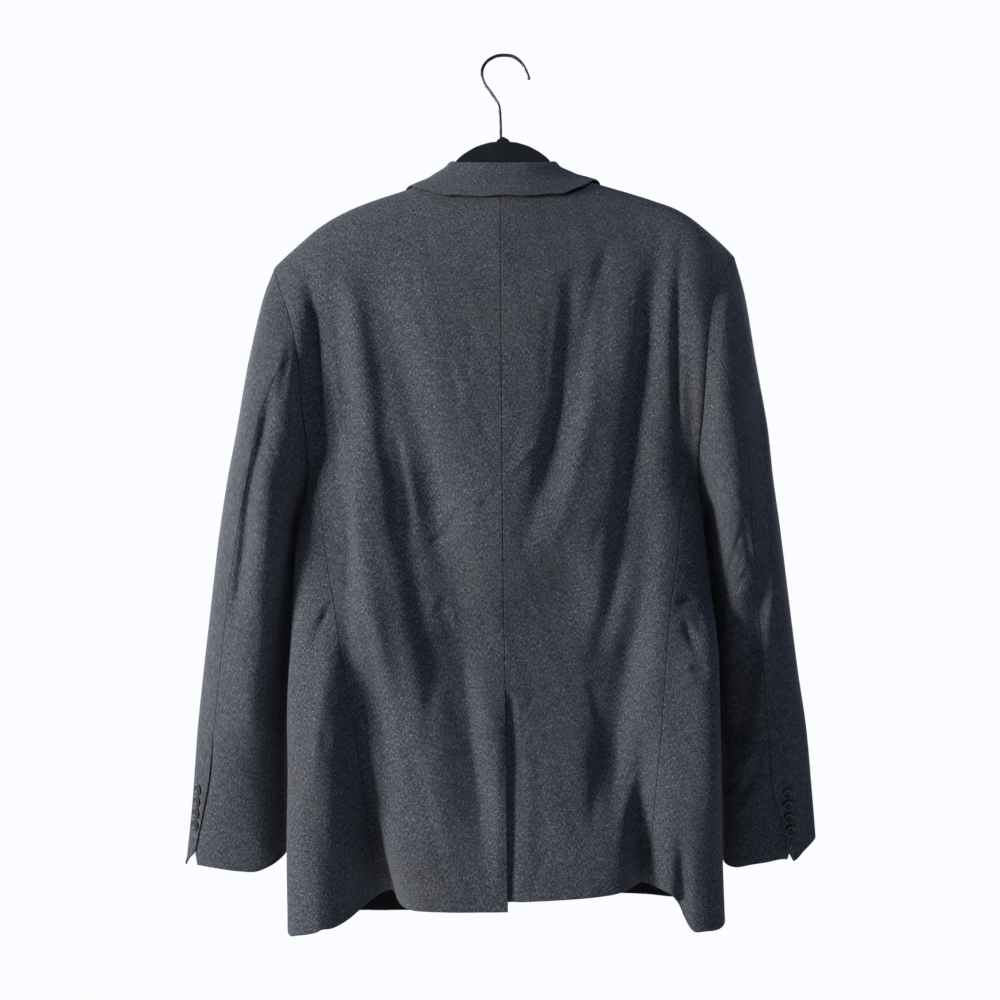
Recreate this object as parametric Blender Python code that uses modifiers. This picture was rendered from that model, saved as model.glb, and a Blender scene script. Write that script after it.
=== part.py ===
"""A single breasted wool blazer on a slim hanger, as thin cloth pieces set edge to edge.

The origin is the inner crown of the hanger's hook, +Z is up, and the jacket's front faces -Y.
Lengths in the tables are millimetres, and "drop" is the distance below the origin. The left side
is the wearer's left, +X.
"""

import math

import bpy
import numpy as np

MM = 0.001
LEFT, RIGHT = 1, -1
SIDE_NAMES = {LEFT: "left", RIGHT: "right"}

CLOTH = 2.0  # thickness of the wool with its interlining
SEAM_GAP = 0.42  # between pieces, at every seam
UNDERARM_EASE = 0.35  # further down, where the sleeve and the side panel leave the same edge
EPSILON = 0.5  # step of the finite differences

SECTION_POWER = 4.0  # how square the body is, seen from above
SHOULDER_ROUND = 190.0  # height over which the body opens out below the shoulder line
NARROWING = 0.055  # share by which the sides draw in beside the sleeves
NARROWING_Y, NARROWING_REACH = -25.0, 42.0
NARROWING_TOP, NARROWING_RAMP = 470.0, 60.0

NECK_X = 72.0  # side neck point
NECK_BACK = 47.0  # depth of the back neckline
NECK_COLUMNS, NECK_ROWS = 5, 3  # divisions of the neckline on the back and on the front
GORGE_DROP, BREAK_DROP = 205.0, 530.0  # ends of the lapel's roll line
GORGE_X, BREAK_X = 48.0, -20.0
CORNER_RADIUS = 70.0  # rounded lower corner of the fronts
OVERLAP_RECESS = 7.2  # how far the right front lies under the left one
OVERLAP_WIDTH, OVERLAP_BLEND = 25.0, 50.0  # of that recess, from centre front
OVERLAP_TOP, OVERLAP_RAMP = 330.0, 95.0

VENT_TOP = 700.0
VENT_UNDERLAP = 40.0
VENT_RECESS = 3.6
VENT_BLEND, VENT_RAMP = 12.0, 16.0  # across and down, over which the recess sets in
VENT_UNDERLAP_START, VENT_UNDERLAP_RAMP = 35.0, 30.0  # below the vent's top

COLLAR_ROLL = 2.9  # outer radius of the collar's fold
LIE = 2.9  # outer face of a flap above the cloth that it lies on

CUFF_BUTTON_RADIUS, CUFF_BUTTON_THICKNESS = 6.0, 2.6
FRONT_BUTTON_RADIUS, FRONT_BUTTON_THICKNESS = 10.0, 3.4
FRONT_BUTTON_DROPS = (552.0, 652.0)
BUTTON_SEAT = 0.4  # between a button and the cloth
BUTTON_STEPS = 14  # round its axis

WIRE_RADIUS = 1.75
HANGER_THICKNESS = 5.0
HANGER_HEIGHT = 14.0
HANGER_HALF_WIDTH = 190.0
HANGER_SEAT = 1.15  # between the hanger's arms and the cloth on them
HANGER_EDGE = 1.8  # radius of its rounded edges
ARM_START = 84.0  # X where its domed middle passes into an arm
UNDERSIDE_X = (50.0, 25.0, 0.0, -25.0, -50.0)  # along the middle's lower edge
UNDERSIDE_DROP, UNDERSIDE_SLOPE = 149.0, 8.0
TIP_TURNS = (60, 30, 0, -30, -60)  # degrees round each arm's tip
HOOK_POINTS = 34


def table(columns, *rows):
    """Rows of numbers under named columns. The first column is the key that they are read by."""
    values = dict(zip(columns.split(), np.array(rows, dtype=float).T))
    values["key"] = values[columns.split()[0]]
    return values


def smooth(rows, column, at):
    """A smooth curve through one column of a table, level past its first and last rows."""
    key, value = rows["key"], rows[column]
    slope = np.gradient(value, key)
    at = np.clip(at, key[0], key[-1])
    i = np.clip(np.searchsorted(key, at) - 1, 0, len(key) - 2)
    step = key[i + 1] - key[i]
    t = (at - key[i]) / step
    return (
        value[i] * (1 + 2 * t) * (1 - t) ** 2
        + value[i + 1] * t**2 * (3 - 2 * t)
        + slope[i] * step * t * (1 - t) ** 2
        - slope[i + 1] * step * t**2 * (1 - t)
    )


# Half widths and depths of the body at each drop, round a centre line that leans a little
BODY = table(
    "drop centre left right back front",
    (110, 2.7, 262, 262, 78, 54),
    (170, 2.7, 264, 264, 79, 58),
    (233, 2.6, 263, 262, 80, 65),
    (256, 2.5, 257, 256, 81, 68),
    (290, 2.3, 246, 243, 82, 73),
    (322, 2.0, 238, 234, 84, 77),
    (390, 1.5, 230, 227, 86, 84),
    (440, 1.2, 221, 220, 88, 88),
    (475, 1.0, 217, 216, 88, 90),
    (554, 0.0, 226, 223, 86, 92),
    (640, -1.5, 233.5, 231, 84, 92),
    (702, -2.7, 239, 232, 84, 92),
    (790, -4.0, 241, 233, 86, 93),
    (850, -4.5, 243, 234, 88, 94),
    (960, -5.0, 243, 238, 89, 95),
)

# The shoulder line: its drop at each distance from the centre
SHOULDER = table(
    "x left right",
    (0, 112, 112),
    (40, 124, 122),
    (72, 136, 132),
    (105, 148.5, 141),
    (137, 159, 150.3),
    (165, 170, 159),
    (197, 188, 171.5),
    (221, 208, 188.5),
    (250, 234.5, 214),
    (275, 262, 241),
)

# X of the armhole, from its top on the shoulder line (0) to its bottom (1)
ARMHOLE_BOTTOM = 475.0
ARMHOLE_DEPTH = 62.0
ARMHOLE_EDGE = table(
    "fraction left right",
    (0.0, 250, 254),
    (0.10, 241, 235),
    (0.235, 228, 220),
    (0.37, 218.5, 214),
    (0.65, 212, 210),
    (0.86, 208, 207),
    (1.0, 208, 208),
)
ARMHOLE_STEP = 20.0  # degrees between the points round it, shared by the body and the sleeve
SEAM_ANGLE = 140.0  # where the side panel's seams meet the armhole, from its top
SEAM_ROWS = 19  # points down each side seam, shared by the panels that meet there
SEAM_FADE = 60.0  # distance below the armhole over which its edge's shape fades out
BACK_SEAM_END, FRONT_SEAM_END = 910.0, 955.0  # near the hem, where it reads the seams

# Distance from the centre line of the seams between back, side panel and front
SEAMS = table(
    "drop back_left back_right front_left front_right",
    (447, 207, 206, 200, 200),
    (470, 198, 195, 192, 192),
    (550, 186, 182, 178, 178),
    (620, 175.5, 172, 170, 170),
    (690, 168, 166, 165, 165),
    (800, 159, 158, 162, 162),
    (960, 147, 152, 160, 160),
)

# Drop of the hem at each fraction of the way from centre back to centre front
HEM = table(
    "fraction left right",
    (0.0, 914.5, 905),
    (0.16, 917, 899),
    (0.24, 922, 895),
    (0.29, 936, 902),
    (0.32, 940, 914),
    (0.345, 940, 937),
    (0.38, 943, 943),
    (0.42, 951, 943),
    (0.46, 956, 947),
    (0.52, 959, 949),
    (0.75, 965, 946),
    (1.0, 966, 943),
)

# The largest folds: a valley is deep where its depth is positive, and a ridge is negative.
# Its path and depth are given at the top, the middle and the bottom, and its two half widths
# on the side of the centre back and on the far side.
FOLDS = table(
    "side top bottom top_x middle_x bottom_x inner outer top_depth middle_depth bottom_depth",
    (LEFT, 590, 925, 166, 158, 133, 18, 55, 0, 26, 98),  # deep valley by the left side roll
    (LEFT, 225, 480, 210, 194, 199, 14, 12, 0, 7, 0),  # beside the left armhole
    (LEFT, 215, 700, 187, 160, 122, 18, 16, 0, -6, 0),  # ridge down the left shoulder blade
    (LEFT, 225, 705, 150, 111, 70, 20, 18, 0, 10, 0),  # long left drape
    (LEFT, 740, 900, 96, 84, 66, 14, 14, 0, 4, 0),
    (RIGHT, 620, 925, 132, 146, 148, 26, 26, 0, 16, 46),  # valley by the right side roll
    (RIGHT, 800, 925, 182, 184, 186, 14, 20, 0, 6, 20),
    (RIGHT, 215, 400, 112, 106, 96, 14, 14, 0, 5, 0),
    (RIGHT, 240, 560, 74, 58, 14, 16, 14, 0, 7, 0),  # drape towards the centre seam
    (RIGHT, 300, 540, 110, 84, 50, 14, 14, 0, -4, 0),
    (RIGHT, 190, 720, 172, 134, 98, 18, 16, 0, 11, 0),  # long right drape
    (RIGHT, 200, 470, 192, 185, 188, 12, 10, 0, 6, 0),  # beside the right armhole
)

# Rings of the sleeve from the armhole (0) to the cuff (1): outer and inner edge, centre, half depth
SLEEVE = table(
    "station outer_left outer_right outer_drop inner_left inner_right inner_drop centre depth",
    (0.0, 250, 254, 226, 208, 208, 475, 0, 62),
    (0.07, 262, 264, 264, 214, 214, 486, 0, 70),
    (0.15, 275.5, 274, 330, 221, 220, 500, 0, 76),
    (0.25, 288, 287, 401, 225, 222, 522, -3, 80),
    (0.35, 300, 294.5, 460, 228, 225, 548, -6, 78),
    (0.45, 311, 304.5, 520, 231, 229, 584, -13, 74),
    (0.56, 321.5, 315.5, 592, 235, 233, 630, -21, 68),
    (0.67, 332.5, 327.5, 670, 238, 237, 692, -29, 61),
    (0.78, 342, 340, 745, 241, 242, 756, -35, 53),
    (0.90, 349.5, 349, 828, 242, 244, 830, -39, 40),
    (1.0, 357, 354, 893, 243, 246, 887, -40, 31),
)

# Angle of the back seam of the sleeve, from its outer edge towards the back
SLEEVE_SEAM = table(
    "station left right",
    (0.0, 80, 80),
    (0.10, 79, 82),
    (0.33, 76, 90),
    (0.55, 68, 90),
    (0.78, 50, 84),
    (1.0, 36, 71),
)
FRONT_SEAM_ANGLE = -140.0
SLEEVE_HEAD = 0.22  # stations over which the armhole's shape passes into the sleeve's
SLEEVE_POWER = 0.9  # how round its section is
SLEEVE_ROWS = 20
CUFF_START = 0.8  # station from which its edge is drawn to the cuff's own line

# Drop of the cuff's edge at each angle round it
CUFF = table(
    "angle left right",
    (-140, 882, 882),
    (-90, 878, 866),
    (0, 889, 853),
    (36, 895, 866),
    (68, 895, 886),
    (100, 897, 891),
    (150, 895, 897),
    (180, 887, 893),
    (220, 882, 882),
)
CUFF_VENT_NOTCH = 9.0  # degrees that the vent's corner stands open
CUFF_VENT_STATION = 0.98
CUFF_FLARE, CUFF_FLARE_REACH = 9.0, 18.0  # how far the vent's corner turns out, and over what angle
CUFF_BUTTON_DROPS = (808.0, 821.5, 835.0, 848.5)
CUFF_BUTTON_ANGLE = 8.0  # from the seam to the row of buttons

# The collar round the neck, from the centre back to its front end: the neck seam, the top of
# its fold, a point half way down its fall and its outer edge, all seen from above
COLLAR = table(
    "station seam_x seam_y roll_x roll_y roll_drop middle_x middle_y leaf_x leaf_y",
    (0.0, 0, 47, 0, 44, 127, 0, 51.5, 0, 58.5),
    (0.14, 25, 44, 24, 41, 126, 22, 49, 22, 56),
    (0.28, 47, 35.6, 44, 31.5, 123.5, 44.5, 42.5, 46, 49.5),
    (0.42, 63, 22.7, 57, 17, 119.5, 66.5, 27, 72, 36),
    (0.54, 72, 0, 62, -3, 122, 82, 0, 104, 0),
    (0.70, 66, -16, 60, -22, 138, 84, -18, 112, -19),
    (0.86, 56, -36, 55, -40, 168, 84, -36, 115, -29),
    (1.0, 48.5, -48.6, 47.5, -51.5, 203, 99, -48.8, 114, -36.5),
)

COLLAR_SHOULDER = 0.54  # the station over the shoulder seam
# Where it is divided, closest over the shoulder
COLLAR_STATIONS = (
    0.0, 0.108, 0.216, 0.324, 0.40, 0.46, 0.50, 0.54, 0.58, 0.63, 0.693, 0.77, 0.847, 0.92, 1.0
)
COLLAR_OVER_EDGE, COLLAR_OVER_REACH = 1.2, 0.25  # more room over the shoulder's ridge
COLLAR_FOLD_DROP = 2.6  # of the fold's two sides, below its top
COLLAR_ARCH = 0.55  # how far its fall arches from the cloth towards a straight line
COLLAR_FLAT_START, COLLAR_FLAT_RAMP = 0.62, 0.3  # stations over which its stand runs out
# Its front end: (across from the front's edge, above the front)
COLLAR_WRAP = ((-2.5, -0.9), (-2.3, 1.2), (-1.3, 2.9), (0.6, 3.9), (4.0, 4.1))

LAPEL_TIP = (132.0, 226.0)  # X and drop
LAPEL_BELLY = 9.0  # how far its edge bows out
LAPEL_END = {LEFT: 6.0, RIGHT: 40.0}  # how far above the break it ends
LAPEL_END_WIDTH = 8.0
LAPEL_EDGE_LIE = 3.3  # its outer edge above the front
LAPEL_ROLL = ((-2.3, -0.9), (-1.9, 1.7), (0.6, 3.7), (5.0, 4.1))  # across, above the front

# Centre line of the hook's wire, from its tip to the hanger
HOOK = table(
    "x drop",
    (-28.5, 23.7),
    (-26.6, 18.4),
    (-22.6, 9.9),
    (-17.0, 3.2),
    (-9.6, -0.9),
    (0.0, -1.75),
    (8.0, -0.6),
    (15.5, 3.4),
    (20.6, 9.0),
    (23.0, 15.6),
    (22.8, 23.0),
    (19.8, 30.2),
    (14.4, 37.6),
    (9.0, 45.6),
    (5.0, 53.0),
    (3.6, 59.5),
    (2.7, 75.0),
    (2.5, 95.0),
)

# The hanger's domed middle from its neck, which holds the hook, to its arms
DOME = table(
    "x drop",
    (0, 87.5),
    (6.2, 87.5),
    (8.0, 90.0),
    (8.6, 93.2),
    (14, 93.9),
    (20, 95.5),
    (30.5, 99.2),
    (36, 102.2),
    (41.5, 105.6),
    (47, 109.8),
    (52.2, 115.2),
    (56, 122.5),
    (68, 142.2),
)

COLOURS = {
    "charcoal_wool": ((0.055, 0.062, 0.072), 0.95, 0.0),
    "dark_button": ((0.012, 0.014, 0.018), 0.35, 0.0),
    "black_flock": ((0.008, 0.010, 0.013), 0.90, 0.0),
    "dark_steel_wire": ((0.10, 0.10, 0.105), 0.30, 1.0),
}


def unit(vectors):
    return vectors / np.maximum(np.linalg.norm(vectors, axis=-1, keepdims=True), 1e-9)


def ramp(t):
    """0 to 1 with level ends."""
    t = np.clip(t, 0.0, 1.0)
    return t * t * (3 - 2 * t)


def side_column(side, prefix=""):
    return prefix + SIDE_NAMES[side]


# ---------------------------------------------------------------- the body


def body_section(side, drop):
    """Half width, back depth and front depth at a drop."""
    return (
        smooth(BODY, side_column(side), drop),
        smooth(BODY, "back", drop),
        smooth(BODY, "front", drop),
    )


def girth_of(side, x, drop, face):
    """Distance round the half section, from centre back, of the point of a face (back 1, front -1)
    at a distance x from the centre line. It is measured on the box that encloses the section."""
    width, back, front = body_section(side, drop)
    ratio = np.clip(np.abs(x) / width, 0.0, 0.999)
    depth_ratio = (1 - ratio**SECTION_POWER) ** (1 / SECTION_POWER)
    depth = back if face > 0 else front
    on_face = np.sign(x) * width * ratio / np.maximum(depth_ratio, ratio)
    round_side = width + depth * (1 - depth_ratio / np.maximum(ratio, 1e-6))
    from_face = np.where(ratio <= depth_ratio, on_face, round_side)
    return from_face if face > 0 else 2 * width + back + front - from_face


def fold_depth(side, girth, drop):
    """Sum of the folds: each is a trough 1/(1+q^2)^1.5 across, q its half widths from its path."""
    total = np.zeros(np.broadcast(girth, drop).shape)
    rows = zip(*(FOLDS[name] for name in FOLDS if name != "key"))
    for of_side, top, bottom, x0, x1, x2, inner, outer, deep0, deep1, deep2 in rows:
        if of_side != side:
            continue
        t = (drop - top) / (bottom - top)
        ends, middle = (1 - t) * (1 - 2 * t), 4 * t * (1 - t)
        path_x = ends * x0 + middle * x1 + t * (2 * t - 1) * x2
        depth = ends * deep0 + middle * deep1 + t * (2 * t - 1) * deep2
        away = girth - girth_of(side, path_x, drop, 1)
        q = away / np.where(away < 0, inner, outer)
        inside = (t > 0) & (t < 1.05)
        total = total + np.where(inside, depth / (1 + q * q) ** 1.5, 0.0)
    return total


def recess_depth(side, girth, drop, total):
    """How far the right panels step in under the left ones, at the vent and the front."""
    if side == LEFT:
        return np.zeros(np.broadcast(girth, drop).shape)
    vent = ramp((VENT_BLEND - girth) / VENT_BLEND + 0.2) * ramp((drop - VENT_TOP) / VENT_RAMP + 0.9)
    from_front = total - girth
    across = ramp((OVERLAP_WIDTH + OVERLAP_BLEND - from_front) / OVERLAP_BLEND)
    front = across * ramp((drop - OVERLAP_TOP) / OVERLAP_RAMP)
    return VENT_RECESS * vent + OVERLAP_RECESS * front


def body_point(side, girth, drop):
    """The body's outer face: a squarish oval at each drop, drawn in to the shoulder line above,
    with its folds pushed in or out along the oval's own normal."""
    girth, drop = np.broadcast_arrays(np.asarray(girth, float), np.asarray(drop, float))
    width, back, front = body_section(side, drop)
    total = 2 * width + back + front
    box_x = np.minimum(np.minimum(girth, width), total - girth)
    box_y = np.clip(width + back - girth, -front, back)
    depth = np.where(box_y >= 0, back, front)
    p = SECTION_POWER
    k = (np.abs(box_x / width) ** p + np.abs(box_y / depth) ** p) ** (-1 / p)
    x, y = box_x * k, box_y * k
    normal_x = np.sign(x) * np.abs(x / width) ** (p - 1) / width
    normal_y = np.sign(y) * np.abs(y / depth) ** (p - 1) / depth
    length = np.hypot(normal_x, normal_y)
    below_armhole = ramp((drop - NARROWING_TOP) / NARROWING_RAMP)
    beside_sleeve = np.exp(-(((y - NARROWING_Y) / NARROWING_REACH) ** 2))
    x = x * (1 - NARROWING * below_armhole * beside_sleeve)
    ridge = smooth(SHOULDER, side_column(side), np.abs(x))
    open_out = np.clip((drop - ridge) / SHOULDER_ROUND, 0.0, 1.0)
    y = y * np.sqrt(1 - (1 - open_out) ** 2)
    inwards = fold_depth(side, girth, drop) + recess_depth(side, girth, drop, total)
    x = x - inwards * normal_x / length
    y = y - inwards * normal_y / length
    centre = smooth(BODY, "centre", drop)
    return np.stack([centre + side * x, y, -drop], axis=-1)


def body_normal(side, girth, drop):
    """Outward normal of the body's outer face, by finite differences."""
    round_it = body_point(side, girth + EPSILON, drop) - body_point(side, girth - EPSILON, drop)
    down = body_point(side, girth, drop + EPSILON) - body_point(side, girth, drop - EPSILON)
    return unit(side * np.cross(round_it, down))


def ridge_normal(side, x):
    """Upward normal of the shoulder line."""
    column = side_column(side)
    slope = (
        smooth(SHOULDER, column, x + EPSILON) - smooth(SHOULDER, column, x - EPSILON)
    ) / (2 * EPSILON)
    return unit(np.stack([side * slope, np.zeros_like(slope), np.ones_like(slope)], axis=-1))


def drop_over(side, x, y):
    """Drop of the body's outer face at a place seen from above, near the shoulders."""
    ridge = smooth(SHOULDER, side_column(side), np.abs(x))
    drop = ridge + 10
    for _ in range(6):
        width, back, front = body_section(side, drop)
        depth = np.where(y >= 0, back, front)
        depth = depth * (1 - np.abs(x / width) ** SECTION_POWER) ** (1 / SECTION_POWER)
        ratio = np.clip(np.abs(y) / depth, 0.0, 0.98)
        drop = ridge + SHOULDER_ROUND * (1 - np.sqrt(1 - ratio**2))
    return drop


def over_body(side, x, y, lie):
    """Points that lie a little above the body, at a place seen from above."""
    drop = drop_over(side, x, y)
    slope_x = (drop_over(side, x + EPSILON, y) - drop_over(side, x - EPSILON, y)) / (2 * EPSILON)
    slope_y = (drop_over(side, x, y + EPSILON) - drop_over(side, x, y - EPSILON)) / (2 * EPSILON)
    normal = unit(np.stack([slope_x, slope_y, np.ones_like(drop)], axis=-1))
    point = np.stack([x, y, -drop], axis=-1) + np.asarray(lie)[..., None] * normal
    return point * np.array([side, 1, 1]), normal * np.array([side, 1, 1])


# ---------------------------------------------------------------- the armhole


def armhole_top(side):
    """Drop of the shoulder line where the armhole meets it."""
    x = smooth(ARMHOLE_EDGE, side_column(side), 0.0) - side * BODY["centre"][0]
    return float(smooth(SHOULDER, side_column(side), x))


def armhole(side, angle):
    """The armhole's edge at an angle in degrees, from its top towards the back."""
    turn = np.radians(angle)
    top = armhole_top(side)
    fraction = (1 - np.cos(turn)) / 2
    drop = top + (ARMHOLE_BOTTOM - top) * fraction
    power = 1.0 - 0.4 * fraction
    y = ARMHOLE_DEPTH * np.sign(np.sin(turn)) * np.abs(np.sin(turn)) ** power
    x = smooth(ARMHOLE_EDGE, side_column(side), fraction)
    return np.stack([side * x, y, -drop], axis=-1)


def armhole_out(side, angle):
    """Direction away from the armhole's middle, shared by the body and the sleeve at the seam."""
    turn = np.radians(angle)
    lean = 0.8 * np.clip(np.cos(turn), 0.0, 1.0)
    return unit(np.stack([side * lean, np.sin(turn), np.cos(turn)], axis=-1))


def armhole_share(angle):
    """How much of that direction the walls take: all at the top, none below."""
    return ramp((np.cos(np.radians(angle)) + 0.25) / 0.8)[..., None]


def armhole_step(side, angle, face):
    """From the body's own surface to the armhole's edge, and the girth where it is met."""
    edge = armhole(side, angle)
    drop = -edge[..., 2]
    centre = smooth(BODY, "centre", drop)
    girth = girth_of(side, side * (edge[..., 0] - centre), drop, face)
    return edge - body_point(side, girth, drop), girth, drop


def seam_girth(side, drop, face):
    name = "back_" if face > 0 else "front_"
    return girth_of(side, smooth(SEAMS, side_column(side, name), drop), drop, face)


def junction(side, face):
    """Where a side seam meets the armhole: its step, girth and drop."""
    step, girth, drop = armhole_step(side, np.array([face * SEAM_ANGLE]), face)
    return step[0], girth[0], drop[0]


def seam_line(side, drop, face):
    """Girth of a side seam, which starts at the armhole."""
    _, start, top = junction(side, face)
    table_start = seam_girth(side, np.array(top), face)
    fade = np.clip(1 - (drop - top) / SEAM_FADE, 0.0, 1.0) ** 2
    return seam_girth(side, drop, face) + (start - table_start) * fade


def seam_rows(side, face):
    """Points down a side seam, as (girth, drop), from the armhole to the hem."""
    start = junction(side, face)[2]
    near_hem = np.array(BACK_SEAM_END if face > 0 else FRONT_SEAM_END)
    end = hem_drop(side, seam_girth(side, near_hem, face))
    drop = np.linspace(start, end, SEAM_ROWS)
    return np.stack([seam_line(side, drop, face), drop], axis=-1)


# ---------------------------------------------------------------- panels


def blend_patch(top, bottom, inner, outer):
    """Fills four edges, each a row of (girth, drop), with a smooth patch. Its first axis runs from
    the inner to the outer edge and its second from the top to the bottom."""
    across = np.linspace(0.0, 1.0, len(top))[:, None, None]
    down = np.linspace(0.0, 1.0, len(inner))[None, :, None]
    ruled = (1 - down) * top[:, None] + down * bottom[:, None]
    ruled = ruled + (1 - across) * inner[None] + across * outer[None]
    corners = (1 - across) * ((1 - down) * top[0] + down * bottom[0])
    corners = corners + across * ((1 - down) * top[-1] + down * bottom[-1])
    return ruled - corners


def pull_in(points, sides):
    """Draws the named edges in by half of the gap at a seam."""
    half = SEAM_GAP / 2
    if "inner" in sides:
        points[0] += half * unit(points[1] - points[0])
    if "outer" in sides:
        points[-1] += half * unit(points[-2] - points[-1])
    if "top" in sides:
        points[:, 0] += half * unit(points[:, 1] - points[:, 0])
    return points


def hem_drop(side, girth):
    """Drop of the hem at a girth."""
    width, back, front = body_section(side, np.array(BACK_SEAM_END))
    return smooth(HEM, side_column(side), girth / (2 * width + back + front))


def shoulder_line(side, count):
    """Points along the shoulder seam, as (distance from the centre line, drop)."""
    column = side_column(side)
    end = smooth(ARMHOLE_EDGE, column, 0.0) - side * BODY["centre"][0]
    x = np.linspace(NECK_X, end, count)
    return np.stack([x, smooth(SHOULDER, column, x)], axis=-1)


def outer_edge(side, face):
    """A panel's outer edge: the armhole from its top, then the side seam, and the angles of the
    armhole's points."""
    angles = np.arange(0.0, SEAM_ANGLE + 1, ARMHOLE_STEP)
    _, girth, drop = armhole_step(side, face * angles, face)
    armhole_part = np.stack([girth, drop], axis=-1)
    return np.concatenate([armhole_part, seam_rows(side, face)[1:]]), angles


def back_edges(side, columns):
    """The back's four edges as (girth, drop), and the armhole's angles down its outer edge."""
    turn = np.linspace(0.0, math.pi / 2, NECK_COLUMNS + 1)[:-1]
    neck_x, neck_y = NECK_X * np.sin(turn), NECK_BACK * np.cos(turn)
    neck = np.stack([neck_x, drop_over(side, neck_x, neck_y)], axis=-1)
    top = np.concatenate([neck, shoulder_line(side, columns - NECK_COLUMNS)])
    top[:, 0] = girth_of(side, top[:, 0], top[:, 1], 1)
    outer, angles = outer_edge(side, 1)
    top[-1] = outer[0]
    rows = len(outer)
    level = (1 - np.cos(np.radians(angles))) / (1 - math.cos(math.radians(SEAM_ANGLE)))
    middle = junction(side, 1)[2]
    inner_drop = np.concatenate([
        top[0, 1] + (middle - top[0, 1]) * level,
        np.linspace(middle, hem_drop(side, 0.0), SEAM_ROWS)[1:],
    ])
    lap = np.zeros(rows)
    if side == RIGHT:
        start = VENT_TOP + VENT_UNDERLAP_START
        lap = -VENT_UNDERLAP * ramp((inner_drop - start) / VENT_UNDERLAP_RAMP)
    inner = np.stack([lap, inner_drop], axis=-1)
    across = np.linspace(0.0, 1.0, columns)
    bottom_girth = inner[-1, 0] + (outer[-1, 0] - inner[-1, 0]) * across
    bottom = np.stack([bottom_girth, hem_drop(side, np.maximum(bottom_girth, 0.0))], axis=-1)
    bottom[-1] = outer[-1]
    return top, bottom, inner, outer, angles


def share_edges(side, points, normals, neck_columns, angles, face):
    """Gives a panel's shoulder and armhole edges the directions that their neighbours take, and
    draws its outer columns to the armhole's edge."""
    columns = len(points)
    count = len(angles)
    steps = np.zeros((points.shape[1], 3))
    steps[:count] = armhole_step(side, face * angles, face)[0]
    junction_step, _, junction_drop = junction(side, face)
    below = -points[-1, count:, 2] - junction_drop
    fade = np.clip(1 - below / SEAM_FADE, 0.0, 1.0) ** 2
    steps[count:] = junction_step * fade[:, None]
    weight = np.linspace(0.0, 1.0, columns) ** 5
    points[:, 1:] += weight[:, None, None] * steps[None, 1:]
    points[-1, 0] += steps[0]
    points[neck_columns:, 0, 1] = 0.0
    normals[neck_columns:, 0] = ridge_normal(side, np.abs(points[neck_columns:, 0, 0]))
    share = armhole_share(face * angles)
    own = normals[-1, :count]
    normals[-1, :count] = unit(share * armhole_out(side, face * angles) + (1 - share) * own)
    return points, normals


def back_panel(side, columns=16):
    """The back: centre seam and vent inside, armhole and side seam outside."""
    top, bottom, inner, outer, angles = back_edges(side, columns)
    patch = blend_patch(top, bottom, inner, outer)
    points = body_point(side, patch[..., 0], patch[..., 1])
    normals = body_normal(side, patch[..., 0], patch[..., 1])
    points, normals = share_edges(side, points, normals, NECK_COLUMNS, angles, 1)
    return pull_in(points, ("inner", "outer", "top")), normals


def front_inner_edge(side, rows, lapel_rows, edge_rows):
    """Down the neck seam, the roll line, the straight edge and round the lower corner."""
    down = np.linspace(0.0, 1.0, NECK_ROWS + 1)
    start = smooth(SHOULDER, side_column(side), NECK_X)
    neck_drop = start + (GORGE_DROP - start) * down**1.4
    neck_x = NECK_X + (GORGE_X - NECK_X) * down**1.4
    roll_drop = np.linspace(GORGE_DROP, BREAK_DROP, lapel_rows + 1)[1:]
    roll_x = np.linspace(GORGE_X, BREAK_X, lapel_rows + 1)[1:]
    hem = smooth(HEM, side_column(side), 1.0)
    edge_drop = np.linspace(BREAK_DROP, hem - CORNER_RADIUS, edge_rows + 1)[1:]
    edge_x = np.full(edge_rows, BREAK_X)
    corner_rows = rows - NECK_ROWS - lapel_rows - edge_rows - 1
    turn = np.linspace(0.0, math.pi / 2, corner_rows + 1)[1:]
    corner_drop = hem - CORNER_RADIUS + CORNER_RADIUS * np.sin(turn)
    corner_x = BREAK_X + CORNER_RADIUS * (1 - np.cos(turn))
    drop = np.concatenate([neck_drop, roll_drop, edge_drop, corner_drop])
    x = np.concatenate([neck_x, roll_x, edge_x, corner_x])
    return np.stack([girth_of(side, x, drop, -1), drop], axis=-1)


def front_panel(side, columns=12):
    """The front: neck, roll line and buttoning edge inside, armhole and side seam outside."""
    outer, angles = outer_edge(side, -1)
    inner = front_inner_edge(side, len(outer), lapel_rows=8, edge_rows=9)
    top = shoulder_line(side, columns)
    top[:, 0] = girth_of(side, top[:, 0], top[:, 1], -1)
    top[0], top[-1] = inner[0], outer[0]
    bottom_girth = np.linspace(inner[-1, 0], outer[-1, 0], columns)
    bottom = np.stack([bottom_girth, hem_drop(side, bottom_girth)], axis=-1)
    bottom[0], bottom[-1] = inner[-1], outer[-1]
    patch = blend_patch(top, bottom, inner, outer)
    points = body_point(side, patch[..., 0], patch[..., 1])
    normals = body_normal(side, patch[..., 0], patch[..., 1])
    points, normals = share_edges(side, points, normals, 0, angles, -1)
    return pull_in(points, ("outer", "top")), normals


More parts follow.
